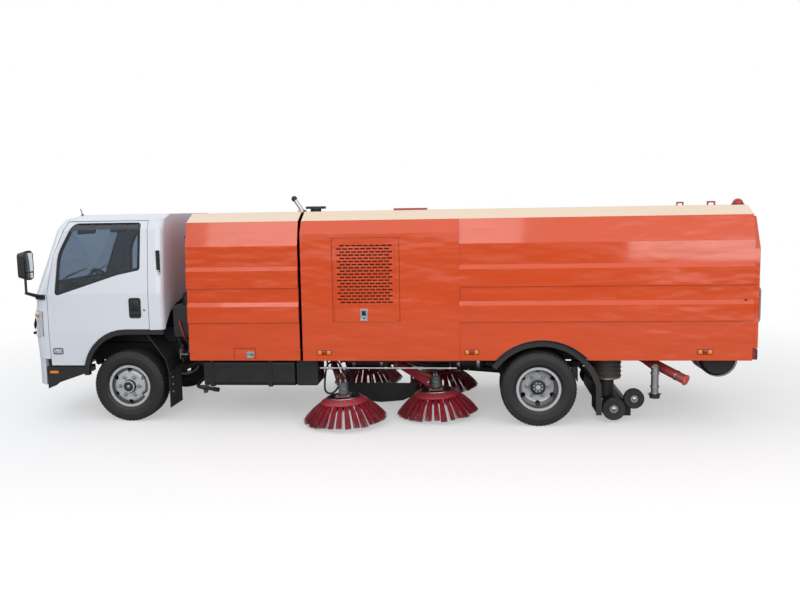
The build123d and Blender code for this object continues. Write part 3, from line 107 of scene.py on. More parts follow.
# %% One node
def linked(name, data):
    """An object with its data, linked to the scene."""
    made = bpy.data.objects.new(name, data)
    bpy.context.scene.collection.objects.link(made)
    return made


def add_node(tree, kind, settings=None, inputs=None):
    """Adds a node; a socket given as an input is linked, anything else is set as its value."""
    made = tree.nodes.new(kind)
    for name, value in (settings or {}).items():
        setattr(made, name, value)
    for name, value in (inputs or {}).items():
        if isinstance(value, bpy.types.NodeSocket):
            tree.links.new(value, made.inputs[name])
        else:
            made.inputs[name].default_value = value
    return made


def new_finish(name, **inputs):
    """A material with only its surface shader and output, and the shader's own constants set."""
    material = bpy.data.materials.new(name)
    material.use_nodes = True
    tree = material.node_tree
    tree.nodes.clear()
    surface = add_node(tree, "ShaderNodeBsdfPrincipled", inputs={key.replace("_", " "): value
        for key, value in inputs.items()})
    add_node(tree, "ShaderNodeOutputMaterial", inputs={"Surface": surface.outputs["BSDF"]})
    return material, tree, surface


def noise(tree, place, scale, detail, **more):
    """A noise pattern; scale is in repeats per metre."""
    return add_node(tree, "ShaderNodeTexNoise", inputs={"Vector": place, "Scale": scale, "Detail": detail,
        **more}).outputs["Fac"]


def blend(tree, share, first, second):
    """One colour that turns into another."""
    return add_node(tree, "ShaderNodeMix", {"data_type": "RGBA"},
        {"Factor": share, "A": first, "B": second}).outputs["Result"]


def ranged(tree, value, low, high, **more):
    """A value from 0 to 1 stretched to run from low to high."""
    return add_node(tree, "ShaderNodeMapRange", inputs={"Value": value, "To Min": low, "To Max": high,
        **more}).outputs["Result"]


def combined(tree, operation, first, second):
    """Two values multiplied, or the larger one of them."""
    return add_node(tree, "ShaderNodeMath", {"operation": operation}, {0: first, 1: second}).outputs["Value"]


def raised(tree, strength, distance, height, **more):
    """A normal bent by a height pattern."""
    return add_node(tree, "ShaderNodeBump", inputs={"Strength": strength, "Distance": distance,
        "Height": height, **more}).outputs["Normal"]


def rounded_edge(tree, radius):
    """A normal that rounds the light at an edge."""
    return add_node(tree, "ShaderNodeBevel", {"samples": 3}, {"Radius": radius}).outputs["Normal"]


def settled_dust(tree, place, cloud, most, top, bottom):
    """The share of dust on a surface: none above top, most at bottom, in clouds."""
    height = add_node(tree, "ShaderNodeSeparateXYZ", inputs={"Vector": place}).outputs["Z"]
    low = ranged(tree, height, 0.0, most, **{"From Min": top, "From Max": bottom})
    return combined(tree, "MULTIPLY", low, cloud)


def finish_with(tree, surface, colour=None, roughness=None, normal=None):
    """Links what a recipe worked out to the surface shader."""
    for socket, value in (("Base Color", colour), ("Roughness", roughness), ("Normal", normal)):
        if value is not None:
            tree.links.new(value, surface.inputs[socket])


print("shader sockets:", len(new_finish("scrap")[2].inputs))
bpy.data.materials.remove(bpy.data.materials["scrap"])

# %% [markdown]
# ## Painted sheet metal
# The cab and the body panels are pressed steel with sprayed enamel: a smooth dielectric skin with an index
# near 1.5. It could be a flat colour with a clear coat, but real spray has a fine orange-peel ripple a few
# millimetres long, broad faint changes of tone, and road dust that settles low down. All three are noise at
# those real sizes. The edges of a pressed panel are folded at a 4 mm radius, so the Bevel node rounds the
# light there.

# %% Sprayed enamel
def sprayed_enamel(name, colour, tone, roughness, coat, dust=0.25, dust_top=1.3, ripple=0.02, waves=0.0,
        shine=0.5):
    """Enamel sprayed on steel; dust shows below dust_top, and waves is how far a thin panel has buckled."""
    material, tree, surface = new_finish(name, IOR=1.5, Coat_Weight=coat, Coat_Roughness=0.06,
        Specular_IOR_Level=shine)
    place = add_node(tree, "ShaderNodeTexCoord").outputs["Object"]
    cloud = noise(tree, place, 9.0, 8.0, Roughness=0.65)
    paint = blend(tree, noise(tree, place, 1.6, 3.0), linear(colour), linear(tone))
    share = settled_dust(tree, place, cloud, dust, dust_top, 0.35)
    normal = raised(tree, ripple, 0.002, noise(tree, place, 160.0, 2.0), Normal=rounded_edge(tree, 0.004))
    if waves:
        # a thin welded panel is never flat: broad hollows about half a metre long bend its reflections
        long_way = add_node(tree, "ShaderNodeMapping", inputs={"Vector": place, "Scale": (1.1, 1.0, 3.2)})
        hollow = noise(tree, long_way.outputs["Vector"], 1.7, 2.0)
        normal = raised(tree, waves, 0.05, hollow, Normal=normal)
    finish_with(tree, surface, blend(tree, share, paint, linear("8C8378")),
        ranged(tree, share, roughness, 0.8), normal)
    return material


white_enamel = sprayed_enamel("white_enamel", "D6D9E0", "CED2DA", 0.28, 0.2, dust=0.10, dust_top=1.0)
orange_enamel = sprayed_enamel("orange_enamel", "CE4609", "C43F05", 0.24, 0.8, dust=0.10, waves=0.4,
    shine=0.3)
cream_enamel = sprayed_enamel("cream_enamel", "E6D0B8", "DFC6AA", 0.38, 0.0)
red_enamel = sprayed_enamel("red_enamel", "A3241C", "8C1B16", 0.38, 0.2, dust=0.5, dust_top=0.9)
brush_enamel = sprayed_enamel("crimson_brush_enamel", "A01C30", "8C1628", 0.42, 0.0, dust=0.15, dust_top=0.5)
motor_enamel = sprayed_enamel("blue_grey_motor_enamel", "3F4C59", "333F4B", 0.45, 0.1, dust=0.5, dust_top=0.7)
hydrant_enamel = sprayed_enamel("bright_red_cap_enamel", "D8391C", "C93316", 0.35, 0.2)
chassis_enamel = sprayed_enamel("chassis_enamel", "0A0A0B", "101011", 0.45, 0.0, dust=0.10, dust_top=1.0,
    ripple=0.1, shine=0.35)
# a darker grey enamel that paints the shade in the wheels' recessed dish; the recipe's own dust still settles
# low down
recess_shade_enamel = sprayed_enamel("painted_recess_shade_enamel", "55585D", "44474B", 0.5, 0.1, dust=0.3, dust_top=0.7)
wheel_enamel = sprayed_enamel("silver_wheel_enamel", "B9BBBE", "AAADB0", 0.32, 0.4, dust=0.18, dust_top=0.7)
print("enamels:", white_enamel.name, orange_enamel.name, cream_enamel.name, red_enamel.name)

# %% [markdown]
# ## Bare and plated metals
# Galvanised sheet, a cast housing, bright cylinder rod and chromed mirror are metals: metallic 1, with the
# default index, and their colour is the reflection's. What tells them apart is roughness and pattern. Zinc
# crystals are about 8 mm across, sand-cast skin has pits near 1 mm, and a ground rod has rings too fine to
# see.

# %% Metals
def metal_skin(name, colour, tone, roughness, spread, scale, depth):
    """A metal with one noise that shifts its colour, its roughness and, if deep enough, its surface."""
    material, tree, surface = new_finish(name, Metallic=1.0)
    place = add_node(tree, "ShaderNodeTexCoord").outputs["Object"]
    grain = noise(tree, place, scale, 6.0, Roughness=0.6)
    finish_with(tree, surface, blend(tree, grain, linear(colour), linear(tone)),
        ranged(tree, grain, roughness - spread, roughness + spread),
        raised(tree, 0.4, depth, grain, Normal=rounded_edge(tree, 0.002)))
    return material


galvanised_sheet = metal_skin("galvanised_sheet", "A9ACAE", "8B8E90", 0.42, 0.12, 120.0, 0.0004)
silencer_steel = metal_skin("heat_blackened_steel", "3A3632", "26221F", 0.5, 0.15, 18.0, 0.0005)
cast_housing = metal_skin("sand_cast_iron", "5E5F61", "45464A", 0.62, 0.12, 600.0, 0.0008)
ground_rod = metal_skin("ground_steel_rod", "C9CACC", "BFC0C3", 0.16, 0.05, 300.0, 0.0001)
zinc_plate = metal_skin("zinc_plated_steel", "B9BABC", "9FA0A3", 0.34, 0.1, 200.0, 0.0002)
mirror_silver = metal_skin("silvered_mirror", "E4E8EA", "DDE2E4", 0.04, 0.02, 3.0, 0.00001)
lamp_reflector = metal_skin("aluminised_reflector", "DCDEE0", "D0D2D5", 0.12, 0.05, 30.0, 0.0001)
spring_steel = metal_skin("yellow_zinc_spring", "CDBB8C", "B8A77B", 0.36, 0.1, 150.0, 0.0002)
print("metals:", galvanised_sheet.name, silencer_steel.name, cast_housing.name)

# %% [markdown]
# ## Plastics and rubber
# Bumper trim, mirror shells and mudguards are moulded ABS or polypropylene with a leather-like grain about 1
# mm across. Tyre rubber is carbon-black and matt, browned by road dust where the tread meets the ground. All
# are dielectrics with an index near 1.5 and a broad highlight, so one recipe serves with its own grain size.

# %% Moulded plastics
def moulded_skin(name, colour, tone, roughness, scale, depth, dust=0.3, dust_top=0.9):
    """A moulded dielectric with a cell grain; dust settles on its lower parts."""
    material, tree, surface = new_finish(name, IOR=1.5)
    place = add_node(tree, "ShaderNodeTexCoord").outputs["Object"]
    cells = add_node(tree, "ShaderNodeTexVoronoi", inputs={"Vector": place,
        "Scale": scale}).outputs["Distance"]
    cloud = noise(tree, place, 14.0, 7.0)
    share = settled_dust(tree, place, cloud, dust, dust_top, 0.1)
    body = blend(tree, cloud, linear(colour), linear(tone))
    finish_with(tree, surface, blend(tree, share, body, linear("7E766B")),
        ranged(tree, cloud, roughness - 0.06, roughness + 0.1), raised(tree, 0.5, depth, cells,
        Normal=rounded_edge(tree, 0.003)))
    return material


grained_abs = moulded_skin("grained_black_abs", "0F1011", "151617", 0.5, 900.0, 0.0004, dust=0.12)
tyre_rubber = moulded_skin("tyre_rubber", "0D0D0E", "141414", 0.62, 700.0, 0.0003, dust=0.12, dust_top=0.35)
seal_rubber = moulded_skin("seal_rubber", "121314", "191919", 0.6, 500.0, 0.0002, dust=0.1)
tank_polyethylene = moulded_skin("moulded_polyethylene", "2A2C2E", "333537", 0.55, 400.0, 0.0004)
dash_abs = moulded_skin("grained_grey_abs", "57595B", "4C4E50", 0.55, 900.0, 0.0004, dust=0.0)
bristle_nylon = moulded_skin("crimson_nylon", "B81A36", "8A1226", 0.5, 60.0, 0.0003, dust=0.2, dust_top=0.12)
hose_rubber = moulded_skin("hose_rubber", "17181A", "1F2022", 0.5, 300.0, 0.0003, dust=0.4, dust_top=0.8)
bellows_rubber = moulded_skin("brown_bellows_rubber", "5E4E3D", "4A3D30", 0.6, 200.0, 0.0003, dust=0.4,
    dust_top=0.9)
gloss_abs = moulded_skin("gloss_black_abs", "131416", "1A1B1D", 0.22, 1200.0, 0.0001)
screen_mesh = moulded_skin("black_dust_screen", "0A0A0B", "131314", 0.7, 420.0, 0.001, dust=0.0)
dial_face = moulded_skin("printed_dial_face", "1B1D20", "D8D8D4", 0.3, 60.0, 0.00005, dust=0.0)
plate_blank = moulded_skin("blank_plate_acrylic", "E9E9E6", "DFDFDB", 0.3, 1200.0, 0.00005, dust=0.3,
    dust_top=1.0)
reflector_amber = moulded_skin("amber_reflector", "E8891C", "D97A12", 0.25, 350.0, 0.0006, dust=0.2)
reflector_red = moulded_skin("red_reflector", "B31310", "A10F0D", 0.25, 350.0, 0.0006, dust=0.2)
print("plastics:", grained_abs.name, tyre_rubber.name, bristle_nylon.name)

# %% [markdown]
# ## Glass and lamp covers
# Safety glass is float glass, index 1.52, with a faint blue-grey body colour. A pane that is a thin solid can
# transmit fully, and the cab behind it stays visible. Lamp covers are clear, amber or red polycarbonate,
# index 1.58, over a bright reflector, and their inner face is ribbed every 6 mm to spread the light.

# %% Glass
wave_scale = 0.314            # the wave texture's scale for bands one metre apart


def clear_skin(name, colour, index, roughness, ribs=0.0):
    """A transmitting skin; ribs is the pitch of the moulded flutes in metres, or 0 for plain glass."""
    material, tree, surface = new_finish(name, IOR=index, Transmission_Weight=1.0)
    place = add_node(tree, "ShaderNodeTexCoord").outputs["Object"]
    smear = noise(tree, place, 6.0, 5.0)
    finish_with(tree, surface, blend(tree, smear, linear(colour), linear(colour)),
        ranged(tree, smear, roughness, roughness + 0.06))
    if ribs:
        flutes = add_node(tree, "ShaderNodeTexWave", {"bands_direction": "X"},
            {"Vector": place, "Scale": wave_scale / ribs, "Distortion": 0.0})
        finish_with(tree, surface, normal=raised(tree, 0.5, 0.002, flutes.outputs["Fac"]))
    return material


safety_glass = clear_skin("safety_glass", "9FADBC", 1.52, 0.0)
lamp_cover = clear_skin("clear_polycarbonate", "F4F7F8", 1.58, 0.02)
fluted_cover = clear_skin("fluted_polycarbonate", "F4F7F8", 1.58, 0.03, 0.006)
amber_cover = clear_skin("amber_polycarbonate", "F28A12", 1.58, 0.05, 0.006)
red_cover = clear_skin("red_polycarbonate", "D2140F", 1.58, 0.05, 0.006)
print("glass:", safety_glass.name, lamp_cover.name, amber_cover.name, red_cover.name)

# %% [markdown]
# ## Seat cloth
# Truck seats wear a flat woven polyester with threads about 2 mm apart, drawn here at 4 mm so that it shows
# from outside the cab. Two wave patterns at right angles make the over-and-under of a plain weave, and the
# sheen lobe gives the pale edge that short fibres have.

# %% Woven polyester
def woven_cloth(name, colour, tone, pitch):
    """A plain weave whose threads are pitch metres apart."""
    material, tree, surface = new_finish(name, IOR=1.5, Roughness=0.85, Sheen_Weight=0.3, Sheen_Roughness=0.4)
    place = add_node(tree, "ShaderNodeTexCoord").outputs["Object"]
    threads = [add_node(tree, "ShaderNodeTexWave", {"bands_direction": way},
        {"Vector": place, "Scale": wave_scale / pitch, "Distortion": 0.4, "Detail": 1.0}).outputs["Fac"]
        for way in ("Y", "DIAGONAL")]
    weave = combined(tree, "MAXIMUM", *threads)
    finish_with(tree, surface, blend(tree, weave, linear(tone), linear(colour)),
        normal=raised(tree, 0.6, 0.001, weave))
    return material


seat_cloth = woven_cloth("woven_seat_polyester", "4A4D53", "2C2E33", 0.004)
print("cloth:", seat_cloth.name)

# %% [markdown]
# ## Finishing the solids
# Each solid that keeps its own shape gets its finish by name. Smooth shading with a 30 degree limit keeps
# turned and lofted skins round and pressed edges crisp.

# %% Finishes by name
finish_of = {}
for material, names in (
        (white_enamel, "cab_shell door_left door_right front_bumper"),
        (orange_enamel, "front_body hopper_shell rear_door grille_door_left grille_door_right"),
        (chassis_enamel, "chassis_frame front_axle rear_axle leaf_springs propshaft side_boxes fuel_tank "
                         "lift_barrel exhaust suction_nozzle"),
        (cast_housing, "engine_block auxiliary_engine knuckle_left knuckle_right"),
        (tank_polyethylene, "water_tank suction_duct"),
        (grained_abs, "air_cleaner cab_trim mirrors mudguards roof_fittings"),
        (red_enamel, "drain_pipes brush_arm_front_left brush_arm_front_right brush_arm_rear_left "
                     "brush_arm_rear_right"),
        (bristle_nylon, "brush_front_left brush_front_right brush_rear_left brush_rear_right"),
        (ground_rod, "lift_rod"),
        (tyre_rubber, "casters_front casters_rear tyre_front_left tyre_front_right tyre_rear_left "
                      "tyre_rear_right"),
        (wheel_enamel, "wheel_front_left wheel_front_right wheel_rear_left wheel_rear_right"),
        (safety_glass, "cab_glass door_glass_left door_glass_right"),
        (dash_abs, "cab_interior"), (seat_cloth, "cab_seats"), (lamp_cover, "headlamps"),
                        (red_cover, "rear_lamps")):
    for name in names.split():
        finish_of[name] = material
for name, solid in nodes.items():
    solid.data.materials.clear()
    solid.data.materials.append(finish_of[name])
    solid.data.set_sharp_from_angle(angle=math.radians(30))
print("finished solids:", len(finish_of))

# %% [markdown]
# ## Two colours on one solid
# A roof painted cream above an orange side is one pressing with a masked line, and a silencer and its bright
# tail pipe are one welded exhaust. Splitting the solids would break the frame, so single faces get another
# material by where their middle lies. A face is painted whole, so the masked line follows the shape's own
# edges.

# %% Paint by place
def repaint(name, finish, test):
    """Gives another finish to the faces of a solid whose middle and normal pass the test."""
    solid = nodes[name]
    if finish.name not in [slot.name for slot in solid.data.materials]:
        solid.data.materials.append(finish)
    index = [slot.name for slot in solid.data.materials].index(finish.name)
    count = 0
    for face in solid.data.polygons:
        if test(face.center, face.normal):
            face.material_index = index
            count += 1
    return count


shoulder_top = 2.19                           # the masked line between the orange side and the cream roof
hydrant_y, hydrant_reach, hydrant_back = 0.985, 0.06, front_axle_x - 5.74
hydrant_band = 0.395                          # plated above this height, black below
hatch_x = (-3.4, -2.8)                       # the hatch, the loops and the dome lamp on the roof
loops_x, loop_reach = -6.29, 0.06
dome_x, dome_base = -6.4, 2.295


def on_hydrant(spot):
    """Whether a point of the drain pipes belongs to the hydrant."""
    return abs(abs(spot.y) - hydrant_y) < hydrant_reach and spot.x > hydrant_back


counts = [repaint(name, finish, test) for name, finish, test in (("front_body", cream_enamel, lambda spot,
    way: spot.z > shoulder_top + 0.002 and way.z > 0.2), ("hopper_shell", cream_enamel, lambda spot,
    way: spot.z > shoulder_top + 0.002 and way.z > 0.2), ("exhaust", zinc_plate, lambda spot,
    way: spot.z > 2.0), ("exhaust", grained_abs, lambda spot, way: spot.z > 2.401),
    ("drain_pipes", zinc_plate, lambda spot, way: on_hydrant(spot) and spot.z > hydrant_band),
    ("drain_pipes", chassis_enamel, lambda spot, way: on_hydrant(spot) and spot.z <= hydrant_band),
    ("cab_interior", chassis_enamel, lambda spot, way: spot.x < front_axle_x - 0.33 and spot.z < 1.36),
    ("roof_fittings", red_enamel, lambda spot, way: hatch_x[0] < spot.x - front_axle_x < hatch_x[1]),
    ("roof_fittings", reflector_red, lambda spot, way: spot.x < front_axle_x + dome_x and spot.z > dome_base),
    ("roof_fittings", red_enamel, lambda spot, way: abs(spot.x - front_axle_x - loops_x) < loop_reach))]
for name, side in sides:
    for label, axle_x in (("front", front_axle_x), ("rear", rear_axle_x)):
        # the dish round the flat disc is painted a darker grey as the shade in the recess, and the hub is
        # bare cast iron
        counts.append(repaint(f"wheel_{label}_{name}", recess_shade_enamel, lambda spot,
            way: 0.172 < math.hypot(spot.x - axle_x, spot.z - axle_z) < 0.214))
        counts.append(repaint(f"wheel_{label}_{name}", cast_housing, lambda spot,
            way: math.hypot(spot.x - axle_x, spot.z - axle_z) < 0.0785 and abs(spot.y) > 0.86))
print("faces painted again:", counts)

# %% [markdown]
# ## Mesh helpers
# Everything added below is a small number of real shapes: turned parts, bent tubes, pressed plates with
# rounded corners. Each could be an add-on primitive with modifiers, but a few lines of mesh code give exact
# sizes in the truck's own frame. A maker function fills an empty mesh, and one function turns it into a piece
# with its finish, a fine bevel on its edges, and the body that it rides on.

# %% Placing and making a piece
def at(ahead, y, height):
    """A point given from the front axle, as the sheet metal is."""
    return Vector((front_axle_x + ahead, y, height))


def route(points, side=1):
    """A list of (ahead, y, height) points from the front axle, mirrored for side -1."""
    return [at(ahead, side * y, height) for ahead, y, height in points]


def make_piece(name, body, finishes, maker, slot, bevel=0.0015, sharp=35, replaced=()):
    """Builds a mesh with maker(bm), finishes it and lets it ride on a body."""
    bm = bmesh.new()
    maker(bm)
    bmesh.ops.recalc_face_normals(bm, faces=bm.faces)
    mesh = bpy.data.meshes.new(name)
    bm.to_mesh(mesh)
    bm.free()
    for finish in finishes if isinstance(finishes, (list, tuple)) else [finishes]:
        mesh.materials.append(finish)
    mesh.shade_smooth()
    mesh.set_sharp_from_angle(angle=math.radians(sharp))
    made = linked(name, mesh)
    if bevel:
        rounding = made.modifiers.new("rounded_edges", "BEVEL")
        rounding.width = bevel
        rounding.segments = 2
        rounding.limit_method = "ANGLE"
        rounding.angle_limit = math.radians(40)
        rounding.use_clamp_overlap = True
    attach(made, body)
    if replaced:
        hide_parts(*replaced)
    return made


def make_pair(name, body, finishes, maker, slot, **more):
    """The same piece on both sides; {} in the body's name stands for the side."""
    for label, side in sides:
        make_piece(f"{name}_{label}", body.format(label), finishes, lambda bm: maker(bm, side), slot, **more)


print("front axle at", at(0, 0, axle_z))

# %% [markdown]
# ## Boxes, turned parts and tubes
# A pressed plate is a box, a nut is a six-sided turned part, a pipe is a circle carried along its middle
# line. The tube helper turns its circle with the path, so that a bent pipe doesn't twist.

# %% Shapes inside a mesh
def add_box(bm, low, high, finish=0):
    """A block between two corners."""
    corners = [bm.verts.new(corner) for corner in itertools.product(*zip(low, high))]
    for ring in ((0, 1, 3, 2), (4, 6, 7, 5), (0, 4, 5, 1), (2, 3, 7, 6), (0, 2, 6, 4), (1, 5, 7, 3)):
        bm.faces.new([corners[index] for index in ring]).material_index = finish


def bridge(bm, rings, finish=0):
    """Joins each loop of a list to the next one with four-sided faces."""
    for ring, above in zip(rings, rings[1:]):
        for step, point in enumerate(ring):
            after = (step + 1) % len(ring)
            bm.faces.new((point, ring[after], above[after], above[step])).material_index = finish


def cap(bm, rings, finish=0):
    """Closes the first and the last loop."""
    bm.faces.new(rings[0][::-1]).material_index = finish
    bm.faces.new(rings[-1]).material_index = finish


def around(angle, first, second):
    """The direction at an angle between two square directions."""
    return math.cos(angle) * first + math.sin(angle) * second


def frame_about(direction):
    """Two directions square to a third."""
    direction = Vector(direction).normalized()
    other = upward if abs(direction.z) < 0.9 else forward
    first = direction.cross(other).normalized()
    return first, direction.cross(first)


def add_turned(bm, middle, axis, profile, count=32, finish=0, turn=0.0, closed=False):
    """A profile of (along, radius) pairs turned about an axis through middle; its ends are capped."""
    axis = Vector(axis).normalized()
    first, second = frame_about(axis)
    rings = []
    for along_axis, radius in profile:
        centre = Vector(middle) + axis * along_axis
        rings.append([bm.verts.new(centre + radius * around(turn + 2 * math.pi * step / count, first, second))
            for step in range(count)])
    bridge(bm, rings + rings[:1] if closed else rings, finish)
    if not closed:
        cap(bm, rings, finish)


def band(start, end, inner, outer):
    """The square profile of a ring, for add_turned with closed=True."""
    return [(start, inner), (start, outer), (end, outer), (end, inner)]


def add_tube(bm, path, radius, count=10, finish=0):
    """A round tube along a path of points; its circle turns with the path."""
    path = [Vector(point) for point in path]
    ways = [(after - before).normalized() for before, after in zip(path, path[1:])]
    ways = [ways[0]] + [(one + two).normalized() for one, two in zip(ways, ways[1:])] + [ways[-1]]
    first, _ = frame_about(ways[0])
    rings = []
    for point, way in zip(path, ways):
        first = (first - way * first.dot(way)).normalized()
        second = way.cross(first)
        rings.append([bm.verts.new(point + radius * around(2 * math.pi * step / count, first, second))
            for step in range(count)])
    bridge(bm, rings, finish)
    cap(bm, rings, finish)


def bend(points, radius, steps=5):
    """The same path with each inner corner rounded; the radius gives way where a leg is short."""
    points = [Vector(point) for point in points]
    path = [points[0]]
    for before, corner, after in zip(points, points[1:], points[2:]):
        reach = min(radius, (before - corner).length * 0.45, (after - corner).length * 0.45)
        start = corner + (before - corner).normalized() * reach
        end = corner + (after - corner).normalized() * reach
        path += [start.lerp(corner, share).lerp(corner.lerp(end, share), share)
            for share in (step / steps for step in range(steps + 1))]
    return path + [points[-1]]


def add_plate(bm, outline, way, depth, finish=0):
    """A flat outline of points, carried some distance one way."""
    way = Vector(way).normalized() * depth
    rings = [[bm.verts.new(point) for point in outline], [bm.verts.new(Vector(point) + way)
        for point in outline]]
    cap(bm, rings, finish)
    bridge(bm, rings, finish)


def rounded_box(width, height, radius):
    """A rounded rectangle about the origin, as (across, up) pairs, four steps to a corner."""
    loop, steps = [], 4
    for quarter, (right, up) in enumerate(((1, 1), (-1, 1), (-1, -1), (1, -1))):
        for step in range(steps + 1):
            angle = math.radians(90 * (quarter + step / steps))
            loop.append((right * (width / 2 - radius) + radius * math.cos(angle),
                up * (height / 2 - radius) + radius * math.sin(angle)))
    return loop


def add_nut(bm, middle, axis, across, height, finish=0):
    """A hexagon nut on its washer, with the end of its stud."""
    add_turned(bm, middle, axis, [(0, across * 0.72), (height * 0.16, across * 0.72)], 20, finish)
    add_turned(bm, middle, axis, [(height * 0.16, across * 0.56), (height * 0.8, across * 0.56),
        (height, across * 0.46)], 6, finish)
    add_turned(bm, middle, axis, [(height, across * 0.3), (height * 1.3, across * 0.26)], 10, finish)


print("a rounded corner has", len(rounded_box(1, 1, 0.1)) // 4, "points")

# %% [markdown]
# ## Side brushes
# A gutter brush is a pressed steel ring with bunches of crimson polypropylene fixed round its edge. Each
# bunch fans out and down like a flat blade, with daylight between the blades. Hair particles could grow it,
# but real bunches are stiff, evenly spaced and cut to one length, so the strands are built as thin tapered
# prisms. A strand is 2.5 mm thick on the machine and drawn at 4 mm here, so that it shows. The draws come
# from a seeded generator.

# %% The plate's own directions
brush_tilt = math.radians(3)                 # the front of a brush is lower
brush_plate_z = 0.275
brush_hubs = {"front": (-2.404, 0.985), "rear": (-3.385, 0.640)}
tilt_up = Vector((math.sin(brush_tilt), 0, math.cos(brush_tilt)))
tilt_ahead = Vector((math.cos(brush_tilt), 0, -math.sin(brush_tilt)))
bunch_count = 28
strand_count = 84
print("strands in a brush:", bunch_count * strand_count)


def brush_spot(hub, angle, radius, height):
    """A point of a brush from its hub: angle round the plate, radius and height above it."""
    return hub + radius * around(angle, tilt_ahead, leftward) + height * tilt_up


def bristles(bm, hub, seed):
    """Bunches of strands, each a prism of three sides that bows a little and ends cut to length."""
    draw = random.Random(seed)
    for bunch in range(bunch_count):
        middle = 2 * math.pi * bunch / bunch_count
        lean = draw.uniform(-0.012, 0.012)
        cut = draw.uniform(-0.012, 0.010)
        for _ in range(strand_count):
            across, depth = draw.uniform(-1, 1), draw.uniform(-1, 1)
            root_radius = 0.232 + 0.012 * depth
            tip_radius = 0.414 + 0.040 * depth + draw.uniform(-0.006, 0.006)
            root_turn = middle + across * 0.017 / root_radius
            tip_turn = middle + (across * 0.031 + lean) / tip_radius + draw.uniform(-0.006, 0.006)
            tip_height = -0.225 + cut + 0.012 * depth + draw.uniform(-0.008, 0.006)
            rings = []
            for share, thickness in ((0.0, 0.0021), (0.4, 0.0021), (0.75, 0.0019), (1.0, 0.0013)):
                bow = 0.012 * math.sin(math.pi * share)
                radius = root_radius + (tip_radius - root_radius) * share + bow
                turn = root_turn + (tip_turn - root_turn) * share
                height = -0.012 + (tip_height + 0.012) * share + bow * 0.5
                rings.append([bm.verts.new(brush_spot(hub, turn + thickness * math.cos(corner) / radius,
                    radius + thickness * math.sin(corner), height)) for corner in (0.5, 2.6, 4.7)])
            bridge(bm, rings)
            bm.faces.new(rings[0])
            bm.faces.new(rings[-1][::-1])


# %% [markdown]
# ## The brush's plate
# The plate is a sloping ring, open in the middle, that six spokes join to a hub. Its slope is painted like
# the bristles, and the ring inside it is bright zinc plate with a rolled edge. A turned profile gives the
# ring in one closed loop, so it has a real thickness.

# %% Plate, inner ring and spokes
def brush_plate(bm, hub):
    """Painted outer ring, plated inner ring, spokes and hub; finishes 0, 1 and 2."""
    add_turned(bm, hub, tilt_up, [(0.026, 0.186), (0.022, 0.194), (-0.010, 0.250), (-0.024, 0.257),
        (-0.032, 0.253), (-0.030, 0.216), (-0.006, 0.200), (0.014, 0.184)], 72, 0, closed=True)
    add_turned(bm, hub, tilt_up, [(0.030, 0.168), (0.036, 0.174), (0.032, 0.182), (0.010, 0.184),
        (0.002, 0.178), (0.010, 0.170)], 72, 1, closed=True)
    for step in range(6):
        angle = math.radians(20 + 60 * step)
        side_way = brush_spot(hub, angle + math.pi / 2, 0.014, 0) - hub
        add_plate(bm, [brush_spot(hub, angle, 0.05, 0.004) + side_way,
            brush_spot(hub, angle, 0.164, 0.008) + side_way, brush_spot(hub, angle, 0.164, 0.008) - side_way,
            brush_spot(hub, angle, 0.05, 0.004) - side_way], tilt_up, 0.008, 2)
    add_turned(bm, hub, tilt_up, [(-0.004, 0.028), (-0.004, 0.072), (0.012, 0.074), (0.022, 0.066),
        (0.024, 0.028)], 40, 2, closed=True)
    for step in range(bunch_count):
        angle = 2 * math.pi * step / bunch_count
        add_turned(bm, brush_spot(hub, angle, 0.205, 0.0105), tilt_up, [(0, 0.007), (0.004, 0.006)], 6, 1)


for label, (ahead, out) in brush_hubs.items():
    for name, side in sides:
        hub = at(ahead, side * out, brush_plate_z)
        body = f"brush_{label}_{name}"
        strands = make_piece(f"bristles_{label}_{name}", body, bristle_nylon,
            lambda bm: bristles(bm, hub, label + name), "bristle", bevel=0, sharp=60, replaced=(body,))
        make_piece(f"brush_plate_{label}_{name}", body, (brush_enamel, zinc_plate, chassis_enamel),
            lambda bm: brush_plate(bm, hub), "red_paint", bevel=0.001, replaced=(body,))
print("strand triangles in one brush:", sum(len(face.vertices) - 2 for face in strands.data.polygons))

# %% [markdown]
# ## Motors and arms
# Each brush hangs from a red welded arm, and a hydraulic motor above the plate turns it. The arm is a solid
# of the frame, so its motor gets another paint by the place of its faces. The motor's ports, hoses and the
# clamped gear case are added, with the pale return spring that pulls the arm in. The hoses stay with the arm
# from the motor to the fitting at its pivot, so nothing stretches when the arm swings.

# %% Motor dress
brush_pivots = {"front": (-2.200, 0.420), "rear": (-2.920, 0.420)}


def level_way(start, end):
    """The level direction from one point towards another."""
    way = end - start
    way.z = 0
    return way.normalized()


